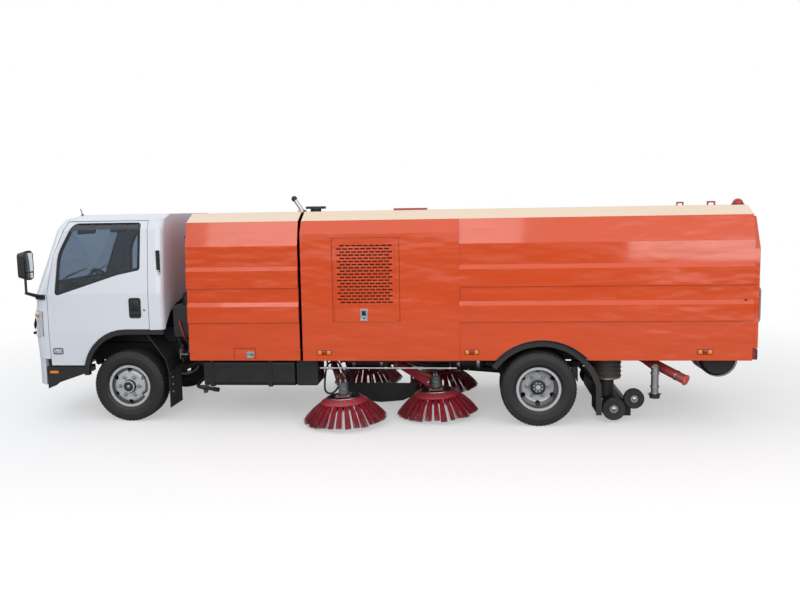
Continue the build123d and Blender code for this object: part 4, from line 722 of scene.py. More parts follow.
def motor_dress(bm, hub, pivot):
    """Gear case collar, band, bolts, ports, hoses and the return spring; finishes 0 to 3."""
    top = hub + tilt_up * 0.185
    add_turned(bm, hub + tilt_up * 0.046, tilt_up, [(0, 0.054), (0, 0.070), (0.010, 0.070), (0.014, 0.054)],
        8, 0, turn=math.radians(22.5), closed=True)
    add_turned(bm, hub + tilt_up * 0.120, tilt_up, band(0, 0.006, 0.053, 0.057), 32, 1, closed=True)
    for step in range(4):
        spot = brush_spot(hub, math.radians(45 + 90 * step), 0.082, 0.045)
        add_nut(bm, spot, tilt_up, 0.017, 0.010, 1)
    along = level_way(hub, pivot)
    across = along.cross(upward)
    for offset in (-0.028, 0.028):
        port = top + across * offset
        add_turned(bm, port - tilt_up * 0.004, tilt_up, [(0, 0.014), (0.016, 0.014), (0.018, 0.011),
            (0.03, 0.011)], 6, 1)
        rise = [port + tilt_up * 0.024, port + tilt_up * 0.085 + along * 0.01,
            port + tilt_up * 0.11 + along * 0.10, Vector((pivot.x, pivot.y, 0.60)) - along * 0.06
            + across * offset * 0.9]
        add_tube(bm, bend(rise, 0.09, 6), 0.0095, 10, 2)
        add_turned(bm, rise[-1], (rise[-1] - rise[-2]), [(-0.03, 0.0115), (-0.004, 0.0115), (0, 0.014),
            (0.014, 0.014)], 6, 1)
    # return spring: a coil of wire between an eye on the arm and one near its pivot
    start = hub + along * 0.10 + tilt_up * 0.20 + across * 0.05
    end = Vector((pivot.x, pivot.y, 0.575)) - along * 0.07 + across * 0.05
    way = end - start
    first, second = frame_about(way)
    turns, points = 22, []
    for step in range(turns * 8 + 1):
        share = step / (turns * 8)
        angle = share * turns * 2 * math.pi
        points.append(start + way * (0.12 + 0.76 * share) + 0.013 * around(angle, first, second))
    add_tube(bm, points, 0.0028, 5, 3)
    add_tube(bm, [start, start + way * 0.125], 0.004, 8, 3)
    add_tube(bm, [end, end - way * 0.125], 0.004, 8, 3)


for label, (ahead, out) in brush_hubs.items():
    for name, side in sides:
        hub, pivot = at(ahead, side * out, brush_plate_z), at(brush_pivots[label][0],
            side * brush_pivots[label][1], 0)
        body = f"brush_arm_{label}_{name}"
        painted = repaint(body, motor_enamel, lambda spot, way: 0.05 < (spot - hub).dot(tilt_up)
            and ((spot - hub) - (spot - hub).dot(tilt_up) * tilt_up).length < 0.054)
        make_piece(f"brush_motor_{label}_{name}", body, (cast_housing, zinc_plate, hose_rubber, spring_steel),
            lambda bm: motor_dress(bm, hub, pivot), "steel", bevel=0.0008)
print("motor faces painted on the last arm:", painted)

# %% [markdown]
# ## Tyres
# A light truck tyre is moulded rubber: flat sidewalls with raised rings, a rounded shoulder with short lugs,
# and a tread of ribs between zigzag grooves 9 mm deep. Grooves could be cut with booleans, but a turned grid
# that drops between close columns gives the same walls for far fewer faces. Rear hubs carry two tyres side by
# side.

# %% One treaded tyre
tyre_radius = 0.3985
pitch_count = 58                              # tread blocks round the tyre
groove_depth = 0.009


def add_tyre(bm, centre):
    """A tyre whose axle runs along Y; columns across it are carried round in steps that follow the tread."""
    side_wall = [(0.0855, 0.2225), (0.0885, 0.2300), (0.0960, 0.2375), (0.1060, 0.2480), (0.1120, 0.2640),
        (0.1140, 0.2665), (0.1138, 0.2720), (0.1165, 0.2900), (0.1175, 0.3080), (0.1168, 0.3220),
        (0.1176, 0.3235), (0.1174, 0.3275), (0.1160, 0.3300), (0.1125, 0.3500), (0.1070, 0.3700)]
    shoulder = [(0.1045, 0.3780), (0.0985, 0.3880), (0.0900, 0.3945)]
    ribs = []
    for middle in (-0.056, -0.019, 0.019, 0.056):
        ribs += [(middle - 0.0052, 0.0), (middle - 0.0036, groove_depth), (middle + 0.0036, groove_depth),
            (middle + 0.0052, 0.0)]
    columns = [(-across, radius, "wall") for across, radius in side_wall]
    columns += [(-across, radius, "lug") for across, radius in shoulder]
    columns += [(across, tyre_radius - 0.012 * across ** 2 / 0.0081 - drop, "rib")
        for across, drop in [(-0.0820, 0.0)] + ribs + [(0.0820, 0.0)]]
    columns += [(across, radius, "lug") for across, radius in shoulder[::-1]]
    columns += [(across, radius, "wall") for across, radius in side_wall[::-1]]
    rounds = []
    for pitch in range(pitch_count):
        for share, notch, shift in ((0.0, 0, 0.0), (0.30, 0, 1.0), (0.36, 1, 1.0), (0.50, 1, 0.6),
                (0.56, 0, 0.4), (0.80, 0, -0.6)):
            angle = 2 * math.pi * (pitch + share) / pitch_count
            ring = []
            for across, radius, kind in columns:
                if kind == "lug" and notch:
                    radius -= 0.006
                moved = across + (0.0035 * shift if kind == "rib" and abs(across) < 0.07 else 0)
                ring.append(bm.verts.new(centre + Vector((radius * math.cos(angle), moved,
                    radius * math.sin(angle)))))
            rounds.append(ring)
    bridge(bm, rounds + rounds[:1])


for name, side in sides:
    for label, axle_x, places in (("front", front_axle_x, (0.855,)), ("rear", rear_axle_x, (0.955, 0.693))):
        node = f"tyre_{label}_{name}"
        tyre = make_piece(f"treaded_{node}", f"wheel_{label}_{name}", tyre_rubber,
            lambda bm: [add_tyre(bm, Vector((axle_x, side * place, axle_z))) for place in places], "tyre",
            bevel=0, sharp=28, replaced=(node,))
print("triangles in a rear pair:", 2 * len(tyre.data.polygons))

# %% [markdown]
# ## Wheel nuts, hubs and valves
# Six nuts on a 222 mm circle hold each wheel, with the studs' ends showing. The rear hub ends in the half
# shaft's flange, with eight bolts and their washers; the front one ends in a pressed grease cap with a rolled
# edge. A valve reaches out through one hand hole. All of it is plated or cast, so it keeps bare-metal
# finishes on painted wheels.

# %% Fasteners on the wheels
stud_radius = 0.111
for name, side in sides:
    for label, axle_x, face_y, hub_y in (("front", front_axle_x, 0.938, 0.985),
            ("rear", rear_axle_x, 0.890, 0.965)):
        def wheel_dress(bm):
            """Nuts, hub details, a rolled ring on the disc, the valve and the rim's edge."""
            out = Vector((0, side, 0))
            centre = Vector((axle_x, side * face_y, axle_z))
            for step in range(6):
                angle = math.radians(60 * step)
                add_nut(bm, centre + stud_radius * around(angle, forward, upward), out, 0.032, 0.026, 0)
            add_turned(bm, centre, out, [(0, 0.142), (0.004, 0.144), (0.004, 0.149), (0, 0.151)], 64, 1,
                closed=True)
            hub_end = Vector((axle_x, side * hub_y, axle_z))
            if label == "rear":
                add_turned(bm, centre, out, [(0, 0.0905), (0.012, 0.0905), (0.016, 0.087), (0.016, 0.085),
                    (0, 0.085)], 48, 1, closed=True)
                for step in range(8):
                    angle = math.radians(45 * step + 22.5)
                    spot = hub_end + 0.044 * around(angle, forward, upward)
                    add_nut(bm, spot, out, 0.016, 0.010, 0)
                add_turned(bm, hub_end, out, [(0, 0.026), (0.006, 0.025), (0.009, 0.018)], 32, 1)
            else:
                add_turned(bm, centre, out, [(0, 0.079), (0.004, 0.084), (0.009, 0.084), (0.012, 0.080),
                    (0.012, 0.076)], 48, 1, closed=True)
                add_turned(bm, hub_end, out, [(-0.002, 0.068), (0.003, 0.065), (0.003, 0.056),
                    (-0.002, 0.054)], 40, 1, closed=True)
                add_turned(bm, hub_end, out, [(-0.002, 0.042), (0.006, 0.040), (0.006, 0.031),
                    (-0.002, 0.029)], 40, 2, closed=True)
                add_turned(bm, hub_end, out, [(-0.002, 0.021), (0.006, 0.019), (0.009, 0.010)], 32, 0)
            valve = centre + 0.182 * around(math.radians(90), forward, upward) - out * 0.020
            add_tube(bm, bend([valve - out * 0.03, valve + out * 0.006,
                valve + out * 0.022 - Vector((0, 0, 0.016))], 0.01, 4), 0.004, 8, 0)
            flange_y = 0.855 if label == "front" else 0.955
            rim_edge = Vector((axle_x, side * (flange_y + 0.088), axle_z))
            add_turned(bm, rim_edge, out, [(-0.0005, 0.2225), (0.0030, 0.2235), (0.0042, 0.2290),
                (0.0030, 0.2350), (-0.0005, 0.2362)], 96, 1, closed=True)

        make_piece(f"wheel_nuts_{label}_{name}", f"wheel_{label}_{name}",
            (zinc_plate, wheel_enamel, chassis_enamel), wheel_dress, "steel", bevel=0.0006)
print("wheels dressed, studs on a circle of", 2 * stud_radius, "m")

# %% [markdown]
# ## Finding a surface
# Trim, handles and wipers sit on curved pressings, so their places are found with a ray: from outside,
# towards the solid, to the first face it meets. The BVH tree that answers the ray is built once for each
# solid.

# %% Rays and outlines
trees = {}
facing_least = 0.55           # cosine to a direction above which a face looks that way


def skin_hit(name, start, way):
    """Where a ray meets a solid, and the outward normal there."""
    if name not in trees:
        mesh = nodes[name].data
        trees[name] = BVHTree.FromPolygons([tuple(vertex.co) for vertex in mesh.vertices],
            [tuple(face.vertices) for face in mesh.polygons])
    spot, normal, _, _ = trees[name].ray_cast(Vector(start), Vector(way))
    if normal.dot(Vector(way)) > 0:
        normal = -normal
    return spot, normal


def from_ahead(name, y, height):
    """Where a ray from in front of the cab meets a solid."""
    return skin_hit(name, at(2.0, y, height), backward)


def from_side(name, ahead, side, height):
    """Where a ray from beside the truck meets a solid."""
    return skin_hit(name, at(ahead, side * 1.4, height), (0, -side, 0))


def rims_facing(name, way, where=None):
    """The closed outlines of the faces of a solid that look one way, each as a loop of points."""
    mesh = nodes[name].data
    chosen = [face for face in mesh.polygons if face.normal.dot(Vector(way)) > facing_least
        and (where is None or where(face.center))]
    place = {}
    for vertex in mesh.vertices:
        place.setdefault(tuple(round(value, 5) for value in vertex.co), len(place))
    keys = [place[tuple(round(value, 5) for value in vertex.co)] for vertex in mesh.vertices]
    spots = {key: mesh.vertices[index].co.copy() for index, key in enumerate(keys)}
    used = {}
    for face in chosen:
        ring = [keys[index] for index in face.vertices]
        for one, two in zip(ring, ring[1:] + ring[:1]):
            used[(one, two)] = True
    onward = {one: two for one, two in used if (two, one) not in used}
    loops = []
    while onward:
        start, point = onward.popitem()
        loop = [start]
        while point != start and point in onward:
            loop.append(point)
            point = onward.pop(point)
        loops.append([spots[key] for key in loop])
    return sorted(loops, key=len, reverse=True)


def resampled(loop, step):
    """A closed loop walked at even steps, so that a seal has no long thin faces."""
    ring = [Vector(point) for point in loop]
    ring.append(ring[0])
    lengths = [(after - before).length for before, after in zip(ring, ring[1:])]
    whole = sum(lengths)
    count = max(12, int(whole / step))
    points, spot, done = [], 0, 0.0
    for number in range(count):
        target = whole * number / count
        while done + lengths[spot] < target:
            done += lengths[spot]
            spot += 1
        points.append(ring[spot].lerp(ring[spot + 1], (target - done) / max(lengths[spot], 1e-9)))
    return points


def add_seal(bm, loop, out, reach_in, reach_out, proud):
    """A flat rubber strip along a closed loop: out is the way the pane faces."""
    out = Vector(out).normalized()
    middle = sum(loop, Vector()) / len(loop)
    rings = []
    for step, point in enumerate(loop):
        way = (loop[(step + 1) % len(loop)] - loop[step - 1]).normalized()
        across = way.cross(out).normalized()
        if across.dot(point - middle) < 0:
            across = -across
        rings.append([bm.verts.new(point + across * side + out * lift)
            for side, lift in ((-reach_in, -0.002), (-reach_in, proud * 0.6), (-reach_in * 0.4, proud),
            (reach_out * 0.6, proud), (reach_out, proud * 0.3), (reach_out, -0.002))])
    bridge(bm, rings + rings[:1])


print("door skin at the handle:", [round(value, 3) for value in skin_hit("door_left", at(-0.1, 1.3, 1.27),
    (0, -1, 0))[0]])

# %% [markdown]
# ## Window seals
# The panes sit in black rubber channels about 30 mm wide, and the fixed glass has a black fired border that
# hides its glue. Each seal follows the pane's own outline from the frame, so it stays right if the pane
# changes.

# %% Seals
seal_step = 0.02


def seals(bm, name, way, reach_in, reach_out, proud, where=None):
    """A seal round the largest outline of a pane that looks one way."""
    for loop in rims_facing(name, way, where)[:1]:
        add_seal(bm, resampled(loop, seal_step), way, reach_in, reach_out, proud)


for name, side in sides:
    make_piece(f"door_window_seal_{name}", f"door_{name}", gloss_abs,
        lambda bm: (seals(bm, f"door_glass_{name}", (0, side, 0.12), 0.034, 0.014, 0.006),
        seals(bm, f"door_glass_{name}", (0, -side, -0.12), 0.016, 0.012, 0.004)), "black_plastic", bevel=0)
ahead_of_cab = front_axle_x + 0.3
make_piece("windscreen_seal", "cab", gloss_abs, lambda bm: (seals(bm, "cab_glass", (1, 0, 0.2), 0.040, 0.016,
    0.005, lambda spot: spot.x > ahead_of_cab), seals(bm, "cab_glass", (-1, 0, -0.2), 0.020, 0.010, 0.004,
    lambda spot: spot.x > ahead_of_cab)), "black_plastic", bevel=0)
make_piece("rear_window_seal", "cab", gloss_abs, lambda bm: (seals(bm, "cab_glass", backward, 0.022, 0.012,
    0.006, lambda spot: spot.x < ahead_of_cab), seals(bm, "cab_glass", forward, 0.018, 0.010, 0.004,
    lambda spot: spot.x < ahead_of_cab)), "black_plastic", bevel=0)

# %% [markdown]
# ## Door furniture
# A truck's door handle is a black moulded recess with a pull flap, and a plated lock barrel beside it. Behind
# the door the cab's corner has a slotted vent, and ahead of it a clear side repeater in a grey frame. All are
# rounded plates set on the door's skin by a ray.

# %% Handle, lock, vent and repeater
def add_pad(bm, middle, across, up, out, size, radius, depth, finish=0, taper=0.0):
    """A rounded rectangular pad that stands on a surface; taper narrows its outer face."""
    across, up, out = (Vector(way).normalized() for way in (across, up, out))
    rings = []
    for lift, shrink in ((-0.002, 0.0), (depth * 0.7, taper * 0.4), (depth, taper + depth * 0.3)):
        rings.append([bm.verts.new(middle + across * u * (1 - 2 * shrink / size[0])
            + up * v * (1 - 2 * shrink / size[1]) + out * lift) for u, v in rounded_box(size[0], size[1],
            radius)])
    bridge(bm, rings, finish)
    cap(bm, rings, finish)


def add_frame(bm, middle, across, up, out, size, radius, border, depth, finish=0):
    """A rounded rectangular frame with an open middle."""
    across, up, out = (Vector(way).normalized() for way in (across, up, out))
    inner = (size[0] - 2 * border, size[1] - 2 * border)
    rings = []
    for dims, corner, lift in ((size, radius, -0.002), (size, radius, depth * 0.6),
            ((size[0] - border * 0.6, size[1] - border * 0.6), radius * 0.9, depth),
            (inner, max(radius - border, 0.002), depth * 0.8), (inner, max(radius - border, 0.002), -0.002)):
        rings.append([bm.verts.new(middle + across * u + up * v + out * lift)
            for u, v in rounded_box(dims[0], dims[1], corner)])
    bridge(bm, rings + rings[:1], finish)


def door_furniture(bm, side):
    """Handle recess with its flap and lock, on one door."""
    name = "left" if side > 0 else "right"
    spot, out = from_side(f"door_{name}", -0.130, side, 1.275)
    add_pad(bm, spot, forward, upward, out, (0.128, 0.215), 0.022, 0.004, 0)
    add_frame(bm, spot, forward, upward, out, (0.134, 0.222), 0.025, 0.010, 0.009, 0)
    add_pad(bm, spot + upward * 0.030 + out * 0.003, forward, upward, out, (0.100, 0.110), 0.016, 0.012, 0,
        taper=0.004)
    add_pad(bm, spot - upward * 0.064 + out * 0.003, forward, upward, out, (0.096, 0.034), 0.010, 0.006, 0,
        taper=0.003)
    lock = spot - forward * 0.105 - upward * 0.02
    lock_spot, lock_out = skin_hit(f"door_{name}", lock + Vector((0, side * 0.3, 0)), (0, -side, 0))
    add_turned(bm, lock_spot, lock_out, [(-0.002, 0.014), (0.004, 0.014), (0.006, 0.011), (0.006, 0.008)], 24,
        1)
    add_pad(bm, lock_spot + lock_out * 0.006, forward, upward, lock_out, (0.003, 0.011), 0.001, 0.0008, 0)
    spot, out = from_side(f"door_{name}", 0.775, side, 0.800)
    along = upward.cross(out)
    add_frame(bm, spot, along, upward, out, (0.112, 0.070), 0.012, 0.009, 0.008, 2)
    add_pad(bm, spot + out * 0.001, along, upward, out, (0.096, 0.054), 0.008, 0.013, 3, taper=0.006)
    add_turned(bm, spot, out, [(-0.002, 0.018), (0.004, 0.016), (0.006, 0.008)], 16, 4)


make_pair("door_furniture", "door_{}", (grained_abs, zinc_plate, dash_abs, fluted_cover, lamp_reflector),
    door_furniture, "black_plastic", bevel=0.0012)


def cab_side_trim(bm, side):
    """Corner vent, ribbed sill and its reflector, on one side of the cab."""
    spot, out = from_side("cab_shell", -0.398, side, 1.74)
    along = upward.cross(out)
    add_pad(bm, spot, along, upward, out, (0.042, 0.315), 0.010, 0.005, 0)
    for step in range(14):
        add_pad(bm, spot + upward * (-0.140 + 0.0215 * step) + out * 0.004, along, upward + out * 0.6, out,
            (0.030, 0.012), 0.002, 0.006, 0)
    # ribbed sill of the step, with its reflector
    for step in range(7):
        low = at(0.44 + 0.062 * step, side * 0.9785, 0.596)
        add_pad(bm, low, forward, upward, (0, side, 0), (0.040, 0.008), 0.003, 0.003, 0)
    add_pad(bm, at(0.845, side * 0.9785, 0.560), forward, upward, (0, side, 0), (0.100, 0.030), 0.008, 0.007,
        1, taper=0.002)


make_pair("cab_side_trim", "cab", (grained_abs, reflector_amber), cab_side_trim, "black_plastic",
    bevel=0.0008)
print("cab corner at", [round(value, 3) for value in skin_hit("cab_shell", at(-0.398, 1.4, 1.74),
    (0, -1, 0))[0]])

# %% [markdown]
# ## Mirrors, wipers and aerial
# The mirror shells are solids; the silvered glass faces back and sits 4 mm inside a lip. Wiper arms lie
# parallel on the windscreen, each point found by a ray against the glass, and the blades are a rubber edge in
# a thin steel carrier. A short aerial stands on the cab's front roof corner.

# %% Mirror glass and wipers
def mirror_glass(bm, side):
    """Main mirror, small wide-angle mirror below it, and their lips."""
    for height, lip, lip_radius, border, glass, radius in ((1.800, (0.166, 0.212), 0.028, 0.007,
            (0.152, 0.198), 0.022), (1.660, (0.150, 0.068), 0.020, 0.006, (0.138, 0.056), 0.016)):
        middle = at(0.9055, side * 1.240, height)
        add_frame(bm, middle, leftward, upward, backward, lip, lip_radius, border, 0.006, 0)
        add_pad(bm, middle, leftward, upward, backward, glass, radius, 0.002, 1)


make_pair("mirror_glass", "cab", (grained_abs, mirror_silver), mirror_glass, "black_plastic", bevel=0.0006)


def on_windscreen(across, height):
    """A point on the outside of the windscreen and the way it faces."""
    return skin_hit("cab_glass", (front_axle_x + 2.0, across, height), backward)


def wipers(bm):
    """Two wipers parked to the passenger's side: spindle cap, sprung arm, carrier and rubber."""
    for spindle_y, tip_y in ((0.46, -0.16), (-0.20, -0.74)):
        base, out = on_windscreen(spindle_y, 1.525)
        base = Vector((base.x, spindle_y, 1.478))
        middle, _ = on_windscreen((spindle_y + tip_y) / 2, 1.575)
        end, _ = on_windscreen(tip_y + 0.02, 1.620)
        add_turned(bm, base + out * 0.004, out, [(0, 0.020), (0.018, 0.018), (0.024, 0.010)], 20, 0)
        arm = [base + out * 0.020, base.lerp(middle, 0.4) + out * 0.040, middle + out * 0.034]
        add_tube(bm, bend(arm, 0.04), 0.0060, 8, 0)
        add_tube(bm, [middle + out * 0.034, middle.lerp(end, 0.35) + out * 0.026], 0.0045, 8, 0)
        spots = []
        for step in range(13):
            share = step / 12
            across = spindle_y - 0.12 + (tip_y - spindle_y + 0.12) * share
            spot, way = on_windscreen(across, 1.545 + 0.085 * share)
            spots.append((spot, way))
        add_tube(bm, [spot + way * 0.015 for spot, way in spots], 0.0042, 6, 0)
        add_tube(bm, [spot + way * 0.006 for spot, way in spots], 0.0048, 4, 1)


make_piece("wipers", "cab", (grained_abs, seal_rubber), wipers, "black_plastic", bevel=0.0006)


def aerial(bm):
    """A stub aerial with a rubber foot, on the roof above the driver's door."""
    foot, out = skin_hit("cab_shell", at(0.585, 0.62, 2.6), (0, 0, -1))
    add_turned(bm, foot, out, [(-0.004, 0.020), (0.006, 0.018), (0.016, 0.009), (0.020, 0.007)], 20, 0)
    add_turned(bm, foot + out * 0.018, Vector((0.3, 0, 1)), [(0, 0.005), (0.045, 0.004), (0.048, 0.0065),
        (0.056, 0.0065), (0.060, 0.003)], 12, 0)


make_piece("aerial", "cab", grained_abs, aerial, "black_plastic", bevel=0)
print("windscreen middle", [round(value, 3) for value in on_windscreen(0, 1.8)[0]])

# %% [markdown]
# ## Seats
# Each seat is a foam cushion and a back in woven polyester on a metal foot. A block with rounded edges would
# look hard, so each pad is swollen by a short cloth simulation: a rounded block is remeshed at 8 mm, blown up
# with a little pressure, kept within 14 mm of where it started (10 mm for a headrest), then smoothed and
# divided once.

# %% Swollen pads
seat_sizes = (("driver", 0.500, 0.240), ("passenger", -0.540, 0.300))       # middle and half width
pad_voxel, pad_pressure, cloth_frames = 0.008, 4.0, 20


def block_mesh(name, outline, half_width, middle_y):
    """A pad's starting shape: a side outline carried across, with its edges rounded and closely divided."""
    bm = bmesh.new()
    ends = [[bm.verts.new((point.x, y, point.z)) for point in outline]
        for y in (middle_y - half_width, middle_y + half_width)]
    cap(bm, ends)
    bridge(bm, ends)
    bmesh.ops.recalc_face_normals(bm, faces=bm.faces)
    bmesh.ops.bevel(bm, geom=bm.edges[:], offset=0.028, segments=3, profile=0.5, affect="EDGES")
    mesh = bpy.data.meshes.new(name)
    bm.to_mesh(mesh)
    bm.free()
    mesh.materials.append(seat_cloth)
    return linked(name, mesh)


def apply_all(made):
    """Bakes every modifier of a piece into its mesh."""
    graph = bpy.context.evaluated_depsgraph_get()
    baked = bpy.data.meshes.new_from_object(made.evaluated_get(graph))
    made.modifiers.clear()
    made.data = baked


def swell(made, most):
    """Blows a pad up like a cushion and keeps it within a set distance of its block."""
    remesh = made.modifiers.new("remesh", "REMESH")
    remesh.mode = "VOXEL"
    remesh.voxel_size = pad_voxel
    apply_all(made)
    start = [vertex.co.copy() for vertex in made.data.vertices]
    cloth = made.modifiers.new("cloth", "CLOTH")
    cloth.settings.use_pressure = True
    cloth.settings.uniform_pressure_force = pad_pressure
    cloth.settings.effector_weights.gravity = 0.0
    cloth.settings.quality = 5
    for step in range(1, cloth_frames + 1):
        bpy.context.scene.frame_set(step)
    apply_all(made)
    for vertex, before in zip(made.data.vertices, start):
        shift = vertex.co - before
        if shift.length > most:
            shift = shift.normalized() * most
        vertex.co = before + shift
    bpy.context.scene.frame_set(1)
    smooth = made.modifiers.new("smooth", "SMOOTH")
    smooth.factor = 0.5
    smooth.iterations = 6
    divided = made.modifiers.new("divided", "SUBSURF")
    divided.levels = divided.render_levels = 1
    apply_all(made)
    made.data.shade_smooth()
    return made


# side outline from the front axle, how much narrower than the seat, and how far the pad may swell
seat_pads = (("cushion", ((-0.235, 1.255), (-0.235, 1.350), (0.215, 1.372), (0.228, 1.262)), 0.0, 0.014),
    ("back", ((-0.345, 1.345), (-0.362, 1.800), (-0.285, 1.800), (-0.205, 1.372)), 0.02, 0.014),
    ("headrest", ((-0.378, 1.840), (-0.380, 1.992), (-0.318, 1.992), (-0.305, 1.840)), None, 0.010))
headrest_half = 0.115
for label, middle, half in seat_sizes:
    pads = []
    for part, outline, narrower, most in seat_pads:
        half_width = headrest_half if narrower is None else half - narrower
        pads.append((block_mesh(f"seat_{part}_{label}", [at(ahead, 0, height) for ahead, height in outline],
            half_width, middle), most))
    for pad, most in pads:
        swell(pad, most)
        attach(pad, "cab")
        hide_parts("cab_seats")
    print("pads of the", label, "seat; faces on the cushion:", len(pads[0][0].data.polygons))

# %% [markdown]
# ## Seat feet, levers, dials and pedals
# Under each cushion is a folded steel foot on two runners, and the headrest stands on two plated rods. On the
# dash are a binnacle with a pair of dials and four round vents; below it are the pedals, and on the hump a
# gear lever with its gaiter and a hand-brake lever. Two sun visors hang from the roof.

# %% Cab furniture
def cab_furniture(bm):
    """Feet, rods, levers, dials, vents and pedals; finishes by number."""
    for _, middle, half in seat_sizes:
        for side in (1, -1):
            add_box(bm, at(-0.21, middle + side * (half - 0.085), 1.077),
                at(0.18, middle + side * (half - 0.060), 1.100), 0)
            y = middle + side * (half - 0.080)
            add_plate(bm, route([(-0.18, y, 1.100), (0.15, y, 1.100), (0.19, y, 1.258), (-0.21, y, 1.258)]),
                (0, side, 0), 0.006, 0)
            add_tube(bm, [at(-0.325, middle + side * 0.055, 1.780), at(-0.342, middle + side * 0.055, 1.860)],
                0.006, 10, 1)
        add_box(bm, at(-0.20, middle - half + 0.07, 1.235), at(0.17, middle + half - 0.07, 1.250), 0)
    # gear and hand-brake levers on the hump
    lever = at(0.300, 0.05, 1.232)
    add_turned(bm, lever, upward, [(0, 0.070), (0.012, 0.066), (0.022, 0.052), (0.030, 0.055), (0.042, 0.038),
        (0.052, 0.040), (0.066, 0.022), (0.080, 0.014)], 28, 2)
    add_tube(bm, bend([lever + Vector((0, 0, 0.07)), lever + Vector((0.01, 0, 0.16)),
        lever + Vector((-0.02, 0.02, 0.27))], 0.05, 5), 0.007, 10, 1)
    add_turned(bm, lever + Vector((-0.02, 0.02, 0.265)), upward,
        [(0, 0.012), (0.012, 0.021), (0.030, 0.024), (0.042, 0.018), (0.048, 0.006)], 20, 2)
    add_tube(bm, bend(route([(0.08, 0.06, 1.232), (0.12, 0.06, 1.30), (0.27, 0.06, 1.36)]), 0.03, 4), 0.012,
        10, 2)
    # binnacle with two dials behind the wheel, and four round vents along the dash
    add_plate(bm, route([(0.640, 0.27, 1.400), (0.640, 0.27, 1.520), (0.760, 0.27, 1.545),
        (0.840, 0.27, 1.430)]), leftward, 0.40, 2)
    for y in (0.38, 0.56):
        add_turned(bm, at(0.639, y, 1.468), backward, [(0, 0.046), (0.003, 0.046), (0.003, 0.040),
            (0.001, 0.039)], 36, 1)
        add_turned(bm, at(0.637, y, 1.468), backward, [(0, 0.039), (0.001, 0.039)], 36, 3)
    for y in (-0.78, -0.30, 0.16, 0.80):
        add_turned(bm, at(0.604, y, 1.352), (-1, 0, 0.1), [(0, 0.042), (0.012, 0.042), (0.014, 0.036),
            (0.006, 0.034)], 28, 2)
        for step in range(-2, 3):
            add_box(bm, at(0.588, y - 0.030, 1.350 + 0.013 * step),
                at(0.596, y + 0.030, 1.353 + 0.013 * step), 0)
    add_box(bm, at(0.585, -0.12, 1.270), at(0.612, 0.10, 1.345), 2)
    add_box(bm, at(0.582, -0.10, 1.300), at(0.587, 0.08, 1.335), 3)
    # glove box edge, pedals and the column's stalks
    add_frame(bm, at(0.608, -0.52, 1.300), leftward, (0.1, 0, 1), (-1, 0, 0.1), (0.360, 0.120), 0.014, 0.004,
        0.003, 0)
    for y in (0.34, 0.46, 0.58):
        add_tube(bm, [at(0.62, y, 1.23), at(0.54, y, 1.115)], 0.008, 8, 0)
        add_box(bm, at(0.515, y - 0.030, 1.090), at(0.540, y + 0.030, 1.150), 2)
    for side in (1, -1):
        add_tube(bm, bend([at(0.52, 0.47, 1.452), at(0.505, 0.47 + side * 0.09, 1.470),
            at(0.485, 0.47 + side * 0.175, 1.490)], 0.04, 4), 0.007, 10, 2)
    # sun visors
    for y in (0.42, -0.42):
        add_pad(bm, at(0.640, y, 2.135), leftward, (0.35, 0, -1), (-1, 0, -0.35), (0.420, 0.130), 0.020,
            0.016, 4)


make_piece("cab_furniture", "cab", (chassis_enamel, zinc_plate, grained_abs, dial_face, seat_cloth),
    cab_furniture, "trim_grey", bevel=0.0015)

# %% [markdown]
# ## Head lamps
# A main bowl, a dip bowl and a row of amber turn lenses stand on a dark bezel. The cover is a solid of the
# frame, bent round the cab's corner, and bowls inside it would cut through its block, so the lamp's face
# carries them in shallow relief.

# %% Bowls and bezels
def lamp_dress(bm, side):
    """Dark bezel, two bright bowls with bulbs, and the turn lamp, on the cover's own face."""
    for y, height, radius in ((0.735, 1.095, 0.062), (0.880, 1.100, 0.058)):
        spot, out = from_ahead("headlamps", side * y, height)
        add_turned(bm, spot - out * 0.001, out, [(0, radius + 0.012), (0.006, radius + 0.010),
            (0.007, radius), (0.002, radius * 0.80), (0.001, radius * 0.45), (0.001, 0.016)], 40, 1)
        add_turned(bm, spot, out, [(0.0, 0.016), (0.007, 0.015), (0.010, 0.008)], 20, 2)
    for step in range(5):
        y, height = 0.680 + 0.072 * step, 1.212 - 0.006 * step
        spot, out = from_ahead("headlamps", side * y, height)
        add_pad(bm, spot, out.cross(upward), upward, out, (0.064, 0.034), 0.006, 0.004, 3, taper=0.002)
    spot, out = from_ahead("headlamps", side * 0.810, 0.992)
    add_pad(bm, spot, out.cross(upward), upward, out, (0.240, 0.030), 0.006, 0.004, 0, taper=0.002)


make_pair("lamp_bowls", "cab", (gloss_abs, lamp_reflector, lamp_cover, reflector_amber), lamp_dress, "lamp",
    bevel=0.0004)
print("lamps on the face at", round(from_ahead("headlamps", 0.735, 1.095)[0].x, 3))

# %% [markdown]
# ## Body hardware
# The body's sides carry small fittings: three-part marker lamps low on the skirt, an aluminium latch plate on
# the small flap, a two-point latch and piano hinge on the grille door, folded hems and rows of rivets. They
# are rounded pads and thin folded strips, placed on the side's flat at its real distance.

# %% Marker lamps, latches and seams
def side_point(ahead, height, side, out=body_half):
    """A point on the flat side of the body."""
    return at(ahead, side * out, height)


def marker_lamp(bm, ahead, height, side, out):
    """Amber, clear and amber lenses in one dark holder."""
    way = Vector((0, side, 0))
    middle = side_point(ahead, height, side, out)
    add_pad(bm, middle, forward, upward, way, (0.150, 0.052), 0.008, 0.006, 0)
    for shift, finish in ((-0.048, 1), (0.0, 2), (0.048, 1)):
        add_pad(bm, middle + Vector((shift, 0, 0)) + way * 0.004, forward, upward, way, (0.043, 0.042), 0.004,
            0.010, finish, taper=0.003)


